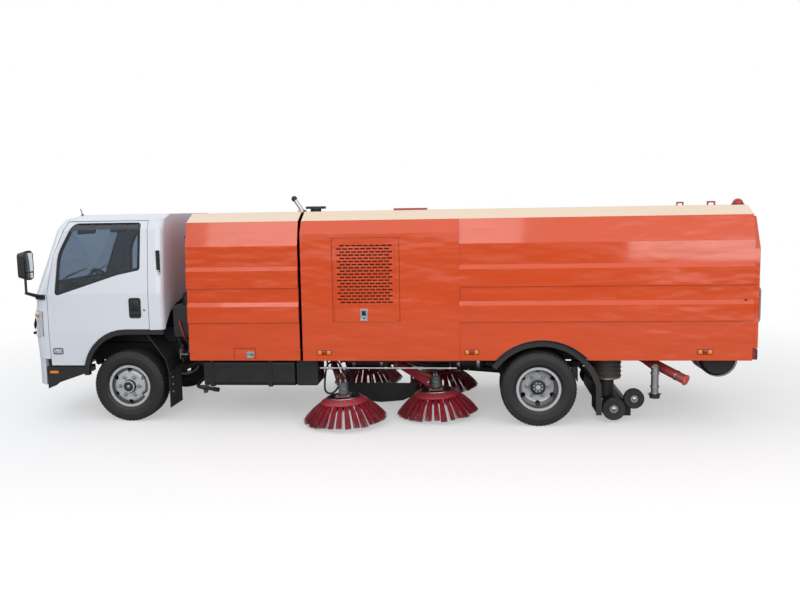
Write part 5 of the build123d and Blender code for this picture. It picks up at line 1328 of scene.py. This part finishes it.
def seam(bm, path, width, depth, way, finish=0):
    """A thin folded strip along a path on the side."""
    way = Vector(way)
    for start, end in zip(path, path[1:]):
        along = (Vector(end) - Vector(start)).normalized()
        across = along.cross(way).normalized() * width / 2
        add_plate(bm, [Vector(start) - across, Vector(end) - across, Vector(end) + across,
            Vector(start) + across], way, depth, finish)


def rectangle(front, back, low, high, side, out=body_half):
    """The outline of a panel on the side, closed, for a seam."""
    return [side_point(ahead, height, side, out) for ahead, height in ((front, low), (front, high),
        (back, high), (back, low), (front, low))]


def rivets(bm, spots, way, finish):
    """Flat rivet heads in a row."""
    for spot in spots:
        add_turned(bm, spot, way, [(-0.001, 0.005), (0.0015, 0.005), (0.003, 0.003)], 10, finish)


def lock_barrel(bm, spot, way):
    """The round key barrel of a latch."""
    add_turned(bm, spot, way, [(0, 0.009), (0.006, 0.009), (0.008, 0.005)], 16, 1)


def bay_side(bm, side):
    """The water bay's flap line with its latch, the skirt's hem and the rivets."""
    way = Vector((0, side, 0))
    # small flap low down, with its aluminium latch
    seam(bm, rectangle(-1.250, -1.482, 0.722, 0.848, side), 0.004, 0.0015, way, 1)
    plate = side_point(-1.424, 0.778, side)
    add_pad(bm, plate, forward, upward, way, (0.088, 0.066), 0.010, 0.004, 0)
    add_frame(bm, plate + way * 0.003, forward, upward, way, (0.070, 0.050), 0.008, 0.005, 0.005, 0)
    lock_barrel(bm, plate + Vector((-0.015, 0, 0)) + way * 0.003, way)
    # folded hem along the skirt and rivets at the corner seam
    seam(bm, [side_point(-0.775, 0.722, side), side_point(-1.955, 0.722, side)], 0.010, 0.0030, way, 2)
    rivets(bm, [side_point(ahead, 0.78 + 0.083 * step, side) for step in range(14)
        for ahead in (-0.785, -1.945)], way, 2)


def hopper_side(bm, side):
    """Marker lamps, skirt hem, panel joints and rivets of the hopper's side."""
    way = Vector((0, side, 0))
    for ahead, out in ((-2.230, cover_half), (-3.780, body_half), (-6.135, body_half)):
        marker_lamp(bm, ahead, 0.8055, side, out)
    for front, back, out in ((-2.010, -3.640, cover_half), (-5.170, -6.590, body_half)):
        seam(bm, [side_point(front, 0.724, side, out), side_point(back, 0.724, side, out)], 0.010, 0.0030,
            way, 3)
    # joint between the flat cover and the ribbed sheet, with its rivets
    rivets(bm, [side_point(ahead, 0.77 + 0.080 * step, side, out) for step in range(15)
        for ahead, out in ((-3.625, cover_half), (-6.575, body_half))], way, 3)
    # rolled lip round the wheel arch
    arch_x, arch_z, arch_r = -4.505, 0.281, 0.644
    start = math.asin((0.716 - arch_z) / arch_r)
    lip = []
    for step in range(49):
        angle = start + (math.pi - 2 * start) * step / 48
        lip.append(at(arch_x + arch_r * math.cos(angle), side * 1.1105, arch_z + arch_r * math.sin(angle)))
    add_tube(bm, lip, 0.0055, 6, 4)
    # keyhole latch beside the grille door
    add_pad(bm, side_point(-6.52, 1.30, side), forward, upward, way, (0.030, 0.090), 0.008, 0.006, 4)


def grille_door_dress(bm, side):
    """Two-point latch plate, piano hinge, dust screen behind the slots and folded edge."""
    way = Vector((0, side, 0))
    plate = side_point(-2.660, 1.205, side, cover_half)
    add_pad(bm, plate, forward, upward, way, (0.082, 0.128), 0.010, 0.004, 0)
    add_frame(bm, plate + way * 0.003, forward, upward, way, (0.066, 0.110), 0.008, 0.005, 0.005, 0)
    add_pad(bm, plate + Vector((0, 0, 0.018)) + way * 0.004, forward, upward, way, (0.042, 0.052), 0.006,
        0.006, 1, taper=0.003)
    lock_barrel(bm, plate + Vector((0, 0, -0.036)) + way * 0.003, way)
    for spot in range(18):
        height = 1.160 + 0.0475 * spot
        add_turned(bm, side_point(-2.352, height, side, cover_half + 0.001), upward,
            [(0, 0.0042), (0.040, 0.0042)], 8, 2)
    # fine dust screen behind the slots, in a folded frame
    add_box(bm, at(-2.983, side * 1.1080, 1.316), at(-2.367, side * 1.1102, 1.949), 3)
    seam(bm, rectangle(-2.358, -2.992, 1.305, 1.960, side, cover_half), 0.005, 0.0022, way, 2)


for name, side in sides:
    make_piece(f"bay_fittings_{name}", "chassis", (zinc_plate, chassis_enamel, orange_enamel),
        lambda bm: bay_side(bm, side), "steel", bevel=0.0004)
    make_piece(f"hopper_fittings_{name}", "hopper", (gloss_abs, reflector_amber, reflector_red, orange_enamel,
        seal_rubber), lambda bm: hopper_side(bm, side), "body_orange", bevel=0.0004)
    make_piece(f"grille_latch_{name}", f"grille_door_{name}", (zinc_plate, chassis_enamel, orange_enamel,
        screen_mesh), lambda bm: grille_door_dress(bm, side), "steel", bevel=0.0004)
print("side fittings on the flat at", body_half, "and on the cover at", cover_half)

# %% [markdown]
# ## Rear of the hopper
# The whole back wall is one top-hinged door. It has two hinge straps, four latches along its bottom edge and
# two grab bars. Below it are a blank number plate under its own lamp, red reflectors, and lamp clusters with
# three lenses.

# %% Rear door hardware
rear_face = -6.680


def rear_dress(bm):
    """Hinge straps, latches and grab bars of the rear door."""
    back = backward
    for y in (-0.62, 0.62):
        add_pad(bm, at(rear_face + 0.002, y, 2.05), leftward, upward, back, (0.085, 0.250), 0.012, 0.010, 0)
        for height in (1.97, 2.05, 2.13):
            add_nut(bm, at(rear_face - 0.006, y, height), back, 0.018, 0.010, 1)
    for y in (-0.86, -0.30, 0.30, 0.86):
        add_pad(bm, at(rear_face + 0.020, y, 0.905), leftward, upward, back, (0.090, 0.070), 0.010, 0.012, 1)
        add_tube(bm, bend([at(rear_face - 0.004, y, 0.925), at(rear_face - 0.022, y, 0.900),
            at(rear_face - 0.026, y, 0.848)], 0.02, 4), 0.008, 10, 1)
        add_turned(bm, at(rear_face + 0.004, y - 0.035, 0.925), leftward, [(0, 0.010), (0.070, 0.010)], 14, 1)
    for side in (1, -1):
        bar_y = side * 0.98
        add_tube(bm, bend([at(rear_face + 0.03, bar_y, 1.08), at(rear_face - 0.022, bar_y, 1.10),
            at(rear_face - 0.022, bar_y, 1.44), at(rear_face + 0.03, bar_y, 1.46)], 0.03, 5), 0.010, 10, 1)


make_piece("rear_door_hardware", "rear_door", (orange_enamel, zinc_plate), rear_dress, "steel", bevel=0.0008)


def rear_lamp_dress(bm):
    """Lens divisions, reflector pads, the blank plate and its lamp under the tail."""
    back = backward
    lamp_x = -6.6455
    for side in (1, -1):
        for shift, finish in ((-0.052, 0), (0.0, 1), (0.052, 2)):
            add_pad(bm, at(lamp_x, side * 1.0125 + shift, 0.777), leftward, upward, back, (0.046, 0.086),
                0.008, 0.008, finish, taper=0.003)
        add_frame(bm, at(lamp_x, side * 1.0125, 0.777), leftward, upward, back, (0.168, 0.110), 0.012, 0.006,
            0.010, 3)
    add_box(bm, at(-6.635, -0.300, 0.560), at(-6.629, 0.300, 0.716), 3)
    add_pad(bm, at(-6.635, 0, 0.640), leftward, upward, back, (0.440, 0.140), 0.010, 0.004, 4)
    for side in (1, -1):
        add_turned(bm, at(-6.6385, side * 0.190, 0.640), back, [(0, 0.006), (0.003, 0.005)], 12, 3)
        add_turned(bm, at(-6.642, side * 0.060, 0.722), leftward, [(-0.030, 0.014), (0.030, 0.014)], 16, 3)
        add_pad(bm, at(-6.635, side * 0.36, 0.640), leftward, upward, back, (0.070, 0.070), 0.030, 0.007, 2)


make_piece("rear_lamp_lenses", "hopper", (amber_cover, fluted_cover, reflector_red, gloss_abs, plate_blank),
    rear_lamp_dress, "lamp_red", bevel=0.0006)

# %% [markdown]
# ## Nose of the cab
# The bumper carries a blank number plate, two fog lamps in dark wells, covers over the towing eyes and a row
# of slots in its lower intake. Each is set on the bumper's own curve by a ray.

# %% Bumper and headlamps
def nose_dress(bm):
    """Number plate, fog lamps, tow-hook covers and the bumper's lower slot."""
    for side in (1, -1):
        spot, out = from_ahead("front_bumper", side * 0.72, 0.535)
        across = out.cross(upward)
        add_frame(bm, spot, across, upward, out, (0.190, 0.120), 0.030, 0.014, 0.006, 0)
        add_pad(bm, spot, across, upward, out, (0.170, 0.100), 0.024, 0.002, 0)
        add_turned(bm, spot, out, [(0.001, 0.044), (0.008, 0.044), (0.010, 0.040), (0.014, 0.020)], 32, 1)
        add_turned(bm, spot, out, [(0.001, 0.046), (0.009, 0.050), (0.009, 0.046)], 32, 2, closed=True)
        spot, out = from_ahead("front_bumper", side * 0.36, 0.500)
        add_pad(bm, spot, out.cross(upward), upward, out, (0.070, 0.070), 0.012, 0.003, 3)
    spot, out = from_ahead("front_bumper", 0, 0.600)
    add_pad(bm, spot, leftward, upward, out, (0.450, 0.150), 0.010, 0.006, 0)
    add_pad(bm, spot + out * 0.005, leftward, upward, out, (0.440, 0.140), 0.010, 0.003, 4)
    for y in (-0.16, 0.16):
        add_turned(bm, spot + Vector((0.008, y, 0)), out, [(0, 0.006), (0.0025, 0.005)], 12, 2)
    for y in range(-4, 5):
        spot, out = from_ahead("front_bumper", 0.11 * y, 0.470)
        add_pad(bm, spot, leftward, upward, out, (0.094, 0.028), 0.010, 0.003, 0)


make_piece("bumper_fittings", "cab", (grained_abs, lamp_cover, lamp_reflector, white_enamel, plate_blank),
    nose_dress, "black_plastic", bevel=0.0006)

# %% [markdown]
# ## Under the floor
# Between the axles the frame is crowded: air tanks with drain taps, brake and fuel lines in clips, a grey
# galvanised rail with clamps, and U-bolts over the springs. They are small turned parts, pressed boxes and
# bent pipes, clipped to the frame all the way, so all of it is one rigid piece on the chassis.

# %% Air tanks, rail, clips and pipes
def u_bolts(bm, ahead, y, top, bottom, finish):
    """Two U-bolts over a spring pack, their plate and nuts."""
    for shift in (-0.055, 0.055):
        path = [at(ahead + shift, y - 0.042, bottom - 0.03), at(ahead + shift, y - 0.042, top),
            at(ahead + shift, y + 0.042, top), at(ahead + shift, y + 0.042, bottom - 0.03)]
        add_tube(bm, bend(path, 0.025, 4), 0.008, 8, finish)
        for across in (-0.042, 0.042):
            add_nut(bm, at(ahead + shift, y + across, bottom - 0.012), (0, 0, -1), 0.022, 0.014, finish)
    add_box(bm, at(ahead - 0.085, y - 0.058, bottom - 0.012), at(ahead + 0.085, y + 0.058, bottom), finish)


def frame_dress(bm):
    """Everything clipped to the frame's rails; finishes: black, plated, hose, cast."""
    for side in (1, -1):
        # galvanised rail below the skirt, with its clamps and hangers
        add_tube(bm, route([(-2.16, 1.030, 0.620), (-3.62, 1.030, 0.620)], side), 0.011, 12, 1)
        for ahead in (-2.24, -2.87, -3.55):
            add_turned(bm, at(ahead, side * 1.030, 0.620), forward, [(-0.014, 0.017), (0.014, 0.017)], 16, 1)
            add_tube(bm, bend(route([(ahead, 1.030, 0.620), (ahead, 1.030, 0.735), (ahead, 0.70, 0.745),
                (ahead, 0.455, 0.720)], side), 0.03, 4), 0.010, 8, 0)
        # brake and fuel lines along the rail's web, each with clips
        for number, (height, radius, finish) in enumerate(((0.720, 0.005, 1), (0.700, 0.007, 2),
                (0.676, 0.005, 0), (0.655, 0.009, 2))):
            y = side * (0.462 + 0.004 * number)
            path = [at(-0.62, y, height), at(-1.60, y + side * 0.004, height - 0.006), at(-2.60, y, height),
                at(-3.75, y, height)]
            add_tube(bm, bend(path, 0.12, 4), radius, 8, finish)
        for step in range(9):
            ahead = -0.75 - 0.36 * step
            add_box(bm, at(ahead - 0.010, side * 0.455, 0.640), at(ahead + 0.010, side * 0.482, 0.735), 0)
    # air tanks on the left rail, one ahead of the rear brush and one behind it
    tank_y, height = 0.545, 0.600
    for ahead, half in ((-2.620, 0.260), (-3.740, 0.180)):
        add_turned(bm, at(ahead + half, tank_y, height), backward,
            [(0.000, 0.030), (0.006, 0.055), (0.020, 0.074), (0.040, 0.080), (2 * half - 0.040, 0.080),
            (2 * half - 0.020, 0.074), (2 * half - 0.006, 0.055), (2 * half, 0.030)], 32, 0)
        for shift in (-0.6 * half, 0.6 * half):
            add_turned(bm, at(ahead + shift, tank_y, height), forward, band(-0.016, 0.016, 0.081, 0.084), 32,
                1, closed=True)
            add_box(bm, at(ahead + shift - 0.016, 0.455, height + 0.055),
                at(ahead + shift + 0.016, 0.545, height + 0.084), 0)
        add_turned(bm, at(ahead, 0.545, height - 0.078), (0, 0, -1),
            [(0, 0.008), (0.014, 0.008), (0.018, 0.011), (0.026, 0.011)], 6, 1)
    for side in (1, -1):
        u_bolts(bm, 0, side * 0.342, 0.560, 0.300, 1)
        u_bolts(bm, -4.475, side * 0.342, 0.570, 0.300, 1)


make_piece("frame_lines", "chassis", (chassis_enamel, zinc_plate, hose_rubber, cast_housing), frame_dress,
    "frame_black", bevel=0.0004)

# %% [markdown]
# ## Behind the cab
# The gap between the cab and the water bay shows the engine's services: a hydraulic filter, a valve block
# with its solenoids, a bracket, and pipes that go down to the frame. The frame's own air cleaner stands there
# already.

# %% Services behind the cab
def service_dress(bm):
    """Filter, valve block, plated bracket and pipes; finishes by number."""
    # hydraulic filter with its head
    add_turned(bm, at(-0.625, 0.690, 0.905), (0, 0, -1), [(0, 0.050), (0.020, 0.052), (0.022, 0.046),
        (0.150, 0.046), (0.165, 0.038), (0.170, 0.015)], 28, 1)
    add_box(bm, at(-0.675, 0.640, 0.900), at(-0.575, 0.740, 0.936), 3)
    # valve block with solenoids
    add_box(bm, at(-0.700, 0.520, 0.800), at(-0.540, 0.600, 0.880), 3)
    for step in range(3):
        add_turned(bm, at(-0.680 + 0.050 * step, 0.600, 0.840), leftward,
            [(0, 0.018), (0.055, 0.018), (0.060, 0.014), (0.070, 0.014)], 18, 0)
    # bracket from the frame to the fender
    add_plate(bm, route([(-0.575, 0.820, 0.640), (-0.575, 0.905, 0.700), (-0.575, 0.905, 0.800),
        (-0.575, 0.820, 0.860)]), backward, 0.006, 1)
    add_box(bm, at(-0.66, 0.455, 0.742), at(-0.575, 0.900, 0.752), 1)
    # pipes that rise from the frame to the air cleaner and the cab floor
    for y, foot, head, radius, finish in ((0.560, 0.72, 0.960, 0.012, 2), (0.610, 0.74, 0.955, 0.009, 1),
            (0.780, 0.76, 0.950, 0.015, 2), (0.845, 0.78, 1.02, 0.008, 2)):
        path = route([(-0.555, 0.46, foot), (-0.560, y, foot + 0.02), (-0.548, y + 0.02, head - 0.08),
            (-0.520, y, head)])
        add_tube(bm, bend(path, 0.06, 5), radius, 10, finish)


make_piece("cab_services", "chassis", (gloss_abs, zinc_plate, hose_rubber, cast_housing), service_dress,
    "frame_black", bevel=0.001)

# %% [markdown]
# ## A hose held only at its ends
# A hose that hangs free is a curve with one smooth spline, so it stays round and bends evenly. Its route is
# given by control points, and its ends stay where the first and last of them are.

# %% One hanging hose
def hanging_hose(name, body, finish, points, radius):
    """A hose along a smooth spline whose control points are given."""
    curve = bpy.data.curves.new(name, "CURVE")
    curve.dimensions = "3D"
    curve.bevel_depth = radius
    curve.bevel_resolution = 4
    curve.resolution_u = 12
    curve.use_fill_caps = True
    spline = curve.splines.new("NURBS")
    spline.points.add(len(points) - 1)
    for control, point in zip(spline.points, points):
        control.co = (*point, 1)
    spline.order_u = 3
    spline.use_endpoint_u = True
    curve.materials.append(finish)
    made = linked(name, curve)
    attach(made, body)
    length = sum((after - before).length for before, after in zip(points, points[1:]))
    print(name, "control polygon", round(length, 3), "m")
    return made


# %% [markdown]
# ## Suction gear
# The suction duct ends in a ribbed rubber bellows above the nozzle, between two clamps. The casters are solid
# rubber tyres on plated hubs with grease caps. Beside them are the drain pipe's cap, the hydrant's rings and
# the silencer's straps. All of these are turned parts.

# %% Casters, bellows, drain and silencer
def caster_hubs(bm, ahead, height, radius):
    """Plated hub rings on both faces of a pair of casters."""
    for side in (1, -1):
        for way in (1, -1):
            face = at(ahead, side * 0.885 + way * 0.031, height)
            add_turned(bm, face, (0, way, 0), [(-0.002, radius * 0.36), (0.003, radius * 0.35),
                (0.003, radius * 0.20), (0.006, radius * 0.18), (0.010, radius * 0.10)], 28, 0)
            add_turned(bm, face, (0, way, 0), [(-0.001, radius * 0.60), (0.002, radius * 0.60),
                (0.002, radius * 0.56), (-0.001, radius * 0.56)], 36, 1, closed=True)
            for step in range(4):
                angle = math.radians(90 * step + 45)
                spot = face + radius * 0.28 * around(angle, forward, upward)
                add_turned(bm, spot, (0, way, 0), [(0.002, 0.005), (0.007, 0.005)], 6, 0)


for label, ahead, height, radius in (("front", -5.272, 0.158, 0.122), ("rear", -5.480, 0.268, 0.106)):
    make_piece(f"caster_hubs_{label}", f"casters_{label}", (zinc_plate, chassis_enamel),
        lambda bm: caster_hubs(bm, ahead, height, radius), "steel", bevel=0.0004)


def duct_dress(bm):
    """Rings of the suction duct's bellows and its clamps."""
    for step in range(9):
        height = 0.455 + 0.048 * step
        add_turned(bm, at(-5.230, 0.560, height), upward, [(-0.010, 0.1655), (-0.004, 0.174), (0.004, 0.174),
            (0.010, 0.1655)], 48, 0, closed=True)
    for height in (0.440, 0.885):
        add_turned(bm, at(-5.230, 0.560, height), upward, band(-0.007, 0.007, 0.166, 0.1695), 48, 1,
            closed=True)


make_piece("duct_bellows", "chassis", (bellows_rubber, zinc_plate), duct_dress, "galvanised", bevel=0)


def drain_dress(bm):
    """Flanged cap of the drain pipe with its clamp, and the hydrant's rings and lugs."""
    low, high = at(-5.980, 1.015, 0.492), at(-5.560, 0.640, 0.690)
    along = (low - high).normalized()
    add_turned(bm, low - along * 0.012, along, [(0, 0.0505), (0.002, 0.058), (0.016, 0.058), (0.020, 0.052),
        (0.024, 0.020)], 36, 0)
    add_turned(bm, low - along * 0.110, along, band(-0.008, 0.008, 0.0505, 0.055), 36, 1, closed=True)
    first, second = frame_about(along)
    for angle in (math.radians(120 * step) for step in range(3)):
        add_turned(bm, low + along * 0.008 + 0.045 * around(angle, first, second), along,
            [(0, 0.006), (0.008, 0.005)], 6, 1)
    foot = at(-5.672, 0.985, 0.300)
    for height in (0.045, 0.120, 0.260):
        add_turned(bm, foot + Vector((0, 0, height)), upward, band(-0.008, 0.008, 0.039, 0.046), 32, 1,
            closed=True)
    for side in (1, -1):
        add_tube(bm, [foot + Vector((side * 0.048, 0, 0.02)), foot + Vector((side * 0.068, 0.004, 0.050))],
            0.006, 8, 1)


make_piece("drain_fittings", "chassis", (hydrant_enamel, zinc_plate), drain_dress, "red_paint", bevel=0.0006)


def exhaust_dress(bm):
    """Seams and straps of the silencer, and the clamp of the tail pipe."""
    for places, half, outer, finish in (((0.445, 0.845), 0.008, 0.1945, 0),
            ((0.540, 0.750), 0.018, 0.1930, 1)):
        for y in places:
            add_turned(bm, at(-6.345, y, 0.692), leftward, band(-half, half, 0.1905, outer), 64, finish,
                closed=True)


make_piece("silencer_straps", "chassis", (chassis_enamel, zinc_plate), exhaust_dress, "frame_black", bevel=0)

# %% [markdown]
# ## Brush arms, hoses and brackets
# A brush arm is a tube with two welded side plates that deepen it towards the motor. A bundle of hydraulic
# hoses runs along each frame rail in rubber clips and sags a little between them. Just behind the front
# wheels a bent outlet pipe hangs on a bracket, and a red grab loop stands out from the bracket behind the
# cab.

# %% Side plates, hose bundles and small brackets
def arm_plates(bm, hub, pivot):
    """Two red side plates and a clevis bolt between an arm's boss and the motor's mounting plate."""
    along = level_way(hub, pivot)
    across = along.cross(upward)
    for shift in (-0.030, 0.024):
        outline = [Vector((pivot.x, pivot.y, 0.512)) - along * 0.036, hub + tilt_up * 0.052 + along * 0.072,
            hub + tilt_up * 0.150 + along * 0.056, Vector((pivot.x, pivot.y, 0.572)) - along * 0.036]
        add_plate(bm, [point + across * shift for point in outline], across, 0.006, 0)
    bolt = hub + tilt_up * 0.105 + along * 0.085
    add_tube(bm, [bolt - across * 0.038, bolt + across * 0.038], 0.009, 12, 1)
    add_nut(bm, bolt + across * 0.030, across, 0.026, 0.013, 1)
    add_nut(bm, bolt - across * 0.030, -across, 0.026, 0.013, 1)


for label, (ahead, out) in brush_hubs.items():
    for name, side in sides:
        make_piece(f"arm_plates_{label}_{name}", f"brush_arm_{label}_{name}", (brush_enamel, zinc_plate),
            lambda bm: arm_plates(bm, at(ahead, side * out, brush_plate_z),
            at(brush_pivots[label][0], side * brush_pivots[label][1], 0.545)), "red_paint", bevel=0.001)


def hose_bundle(bm):
    """Hydraulic hoses along both rails, clips, the outlet pipe and the grab loop; finishes by number."""
    for side in (1, -1):
        for number in range(4):
            y, height = 0.648 + 0.020 * number, 0.700 - 0.022 * number
            path = []
            for step in range(13):
                sag = 0.006 * (step % 2) * (1 + 0.3 * number)
                path.append(at(-2.32 - 0.115 * step, side * (y + 0.006 * math.sin(step * 1.7 + number)),
                    height - sag))
            add_tube(bm, bend(path, 0.05, 3), 0.0105, 10, 2 if number % 2 else 0)
        for step in range(4):
            ahead = -2.33 - 0.42 * step
            add_plate(bm, route([(ahead, 0.455, 0.745), (ahead, 0.728, 0.745), (ahead, 0.728, 0.612),
                (ahead, 0.635, 0.612), (ahead, 0.620, 0.712), (ahead, 0.455, 0.712)], side), backward, 0.016,
                0)
        # carrier plate of the front brush on the rail, with its bolts
        add_plate(bm, route([(-2.150, 0.505, 0.600), (-2.345, 0.505, 0.600), (-2.345, 0.505, 0.748),
            (-2.150, 0.505, 0.748)], side), (0, side, 0), 0.008, 0)
        add_box(bm, at(-2.345, side * 0.455, 0.735), at(-2.150, side * 0.505, 0.748), 0)
        for ahead in (-2.325, -2.172):
            for height in (0.625, 0.705):
                add_nut(bm, at(ahead, side * 0.513, height), (0, side, 0), 0.020, 0.010, 1)
        # outlet pipe and its bracket behind the front wheel
        pipe = route([(-0.800, 0.470, 0.560), (-0.790, 0.640, 0.470), (-0.700, 0.800, 0.365),
            (-0.920, 0.830, 0.340)], side)
        add_tube(bm, bend(pipe, 0.07, 6), 0.021, 14, 0)
        add_tube(bm, route([(-0.915, 0.830, 0.3405), (-0.975, 0.835, 0.334)], side), 0.025, 16, 0)
        add_plate(bm, route([(-0.780, 0.815, 0.385), (-0.862, 0.815, 0.380), (-0.842, 0.815, 0.300),
            (-0.802, 0.815, 0.290)], side), (0, side, 0), 0.012, 3)
        # mud-flap stiffener with its bolts
        for height in (0.50, 0.42, 0.34):
            add_nut(bm, at(-0.492, side * 0.940, height), backward, 0.018, 0.008, 1)
    # red grab loop and plated bracket behind the cab, on the driver's side
    loop = route([(-0.575, 0.800, 1.120), (-0.575, 0.895, 1.120), (-0.612, 0.905, 1.010),
        (-0.640, 0.905, 0.925), (-0.640, 0.800, 0.905)])
    add_tube(bm, bend(loop, 0.035, 5), 0.009, 12, 4)
    add_plate(bm, route([(-0.600, 0.800, 0.890), (-0.665, 0.800, 0.890), (-0.665, 0.800, 1.150),
        (-0.560, 0.800, 1.150)]), leftward, 0.006, 0)
    for height in (0.960, 1.040):
        add_turned(bm, at(-0.615, 0.806, height), leftward, [(0, 0.020), (0.030, 0.020), (0.034, 0.014),
            (0.05, 0.014)], 18, 1)
    # engine-side harness that climbs to the cab floor
    for number in range(5):
        y = 0.690 + 0.028 * number
        path = route([(-0.520 - 0.012 * number, 0.480, 0.700 + 0.02 * number),
            (-0.505, y, 0.780 + 0.03 * number), (-0.490 - 0.010 * number, y + 0.02, 0.960),
            (-0.462 - 0.008 * number, y - 0.03, 1.10), (-0.470, y - 0.06, 1.24)])
        add_tube(bm, bend(path, 0.07, 5), 0.008 + 0.002 * (number % 3), 10, 2 if number % 2 else 0)


make_piece("hose_bundles", "chassis", (chassis_enamel, zinc_plate, hose_rubber, cast_housing, red_enamel),
    hose_bundle, "frame_black", bevel=0.0005)

# %% [markdown]
# ## Hoses that hang free
# The last hydraulic hose of each front brush is longer than the way it goes, so that the arm can swing out,
# and it hangs in a loop in front of the brush. It is one smooth spline, fixed at the frame end of the arm and
# at the motor. The length of its control polygon is printed.

# %% The front brushes' hose loops
loop_route = ((-2.215, 0.462, 0.585), (-2.170, 0.590, 0.600), (-2.160, 0.710, 0.530), (-2.160, 0.800, 0.400),
    (-2.175, 0.860, 0.320), (-2.250, 0.905, 0.305), (-2.320, 0.935, 0.360), (-2.350, 0.955, 0.420))
loop_radius = 0.011
for name, side in sides:
    points = route(loop_route, side)
    loop = hanging_hose(f"hose_loop_{name}", f"brush_arm_front_{name}", hose_rubber, points, loop_radius)

# %% [markdown]
# ## Floor and light
# The floor is a pale matt sheet. Close to the truck it takes the shadow; further off it turns to plain white
# where the camera or a pane looks at it, so that no horizon cuts the picture. Gloss sees a darker ground and
# a sky that gets brighter overhead, which is what draws the streaks on wavy sheet metal, and the light that
# the floor throws back under the truck is cut to that of tarmac. Three soft lamps stand at the side, behind
# and ahead.

# %% Studio
def white_seen(tree, shader, share=None):
    """Mixes a plain white glow over a shader for what the eye or a pane sees of it."""
    path = add_node(tree, "ShaderNodeLightPath").outputs
    seen = combined(tree, "MAXIMUM", path["Is Camera Ray"], path["Is Transmission Ray"])
    if share is not None:
        seen = combined(tree, "MULTIPLY", seen, share)
    glow = add_node(tree, "ShaderNodeEmission", inputs={"Color": linear("FFFFFF"), "Strength": 1.0})
    return add_node(tree, "ShaderNodeMixShader", inputs={0: seen, 1: shader, 2: glow.outputs["Emission"]})


floor_sheet = bpy.data.materials.new("matt_white_sheet")
floor_sheet.use_nodes = True
tree = floor_sheet.node_tree
tree.nodes.clear()
place = add_node(tree, "ShaderNodeTexCoord").outputs["Object"]
away = add_node(tree, "ShaderNodeVectorMath", {"operation": "LENGTH"}, {0: place})
far = add_node(tree, "ShaderNodeMapRange", {"interpolation_type": "SMOOTHSTEP"},
    {"Value": away.outputs["Value"], "From Min": 3.5, "From Max": 10.0, "To Min": 0.4})
path = add_node(tree, "ShaderNodeLightPath")
tone = blend(tree, path.outputs["Is Camera Ray"], linear("A2A2A2"), linear("F7F7F7"))
matt = add_node(tree, "ShaderNodeBsdfDiffuse", inputs={"Color": tone})
mixed = white_seen(tree, matt.outputs["BSDF"], far.outputs["Result"])
add_node(tree, "ShaderNodeOutputMaterial", inputs={"Surface": mixed.outputs["Shader"]})

floor_mesh = bpy.data.meshes.new("floor")
floor_mesh.from_pydata([(-60, -60, 0), (60, -60, 0), (60, 60, 0), (-60, 60, 0)], [], [(0, 1, 2, 3)])
floor_mesh.materials.append(floor_sheet)
linked("floor", floor_mesh)

world = bpy.data.worlds.new("studio_sky")
bpy.context.scene.world = world
world.use_nodes = True
tree = world.node_tree
tree.nodes.clear()
height = add_node(tree, "ShaderNodeSeparateXYZ", inputs={0: add_node(tree,
    "ShaderNodeTexCoord").outputs["Generated"]})
overhead = add_node(tree, "ShaderNodeMapRange", {"interpolation_type": "SMOOTHSTEP"},
    {"Value": height.outputs["Z"], "From Min": 0.0, "From Max": 0.75, "To Min": 0.62, "To Max": 1.6})
path = add_node(tree, "ShaderNodeLightPath")
power = add_node(tree, "ShaderNodeMix", inputs={"Factor": path.outputs["Is Glossy Ray"], "A": 0.76,
    "B": overhead.outputs["Result"]})
sky = add_node(tree, "ShaderNodeBackground", inputs={"Color": linear("F4F7FB"),
    "Strength": power.outputs["Result"]})
mixed = white_seen(tree, sky.outputs["Background"])
add_node(tree, "ShaderNodeOutputWorld", inputs={"Surface": mixed.outputs["Shader"]})

for name, spot, aim, size, power in (("side_softbox", (1.5, 10.0, 5.0), (-0.5, 0, 0.8), 7.0, 380.0),
        ("tail_softbox", (-6.0, 9.0, 3.6), (1.5, 0.6, 1.2), 5.0, 330.0),
        ("nose_softbox", (11.0, 2.0, 4.5), (2.0, 0, 1.0), 4.0, 120.0)):
    lamp_data = bpy.data.lights.new(name, "AREA")
    lamp_data.size = size
    lamp_data.energy = power
    lamp = linked(name, lamp_data)
    lamp.location = spot
    lamp.rotation_mode = "QUATERNION"
    lamp.rotation_quaternion = (Vector(spot) - Vector(aim)).to_track_quat("Z", "Y")
bpy.context.scene.view_settings.view_transform = "Standard"
print("studio:", [lamp.name for lamp in bpy.data.lights])
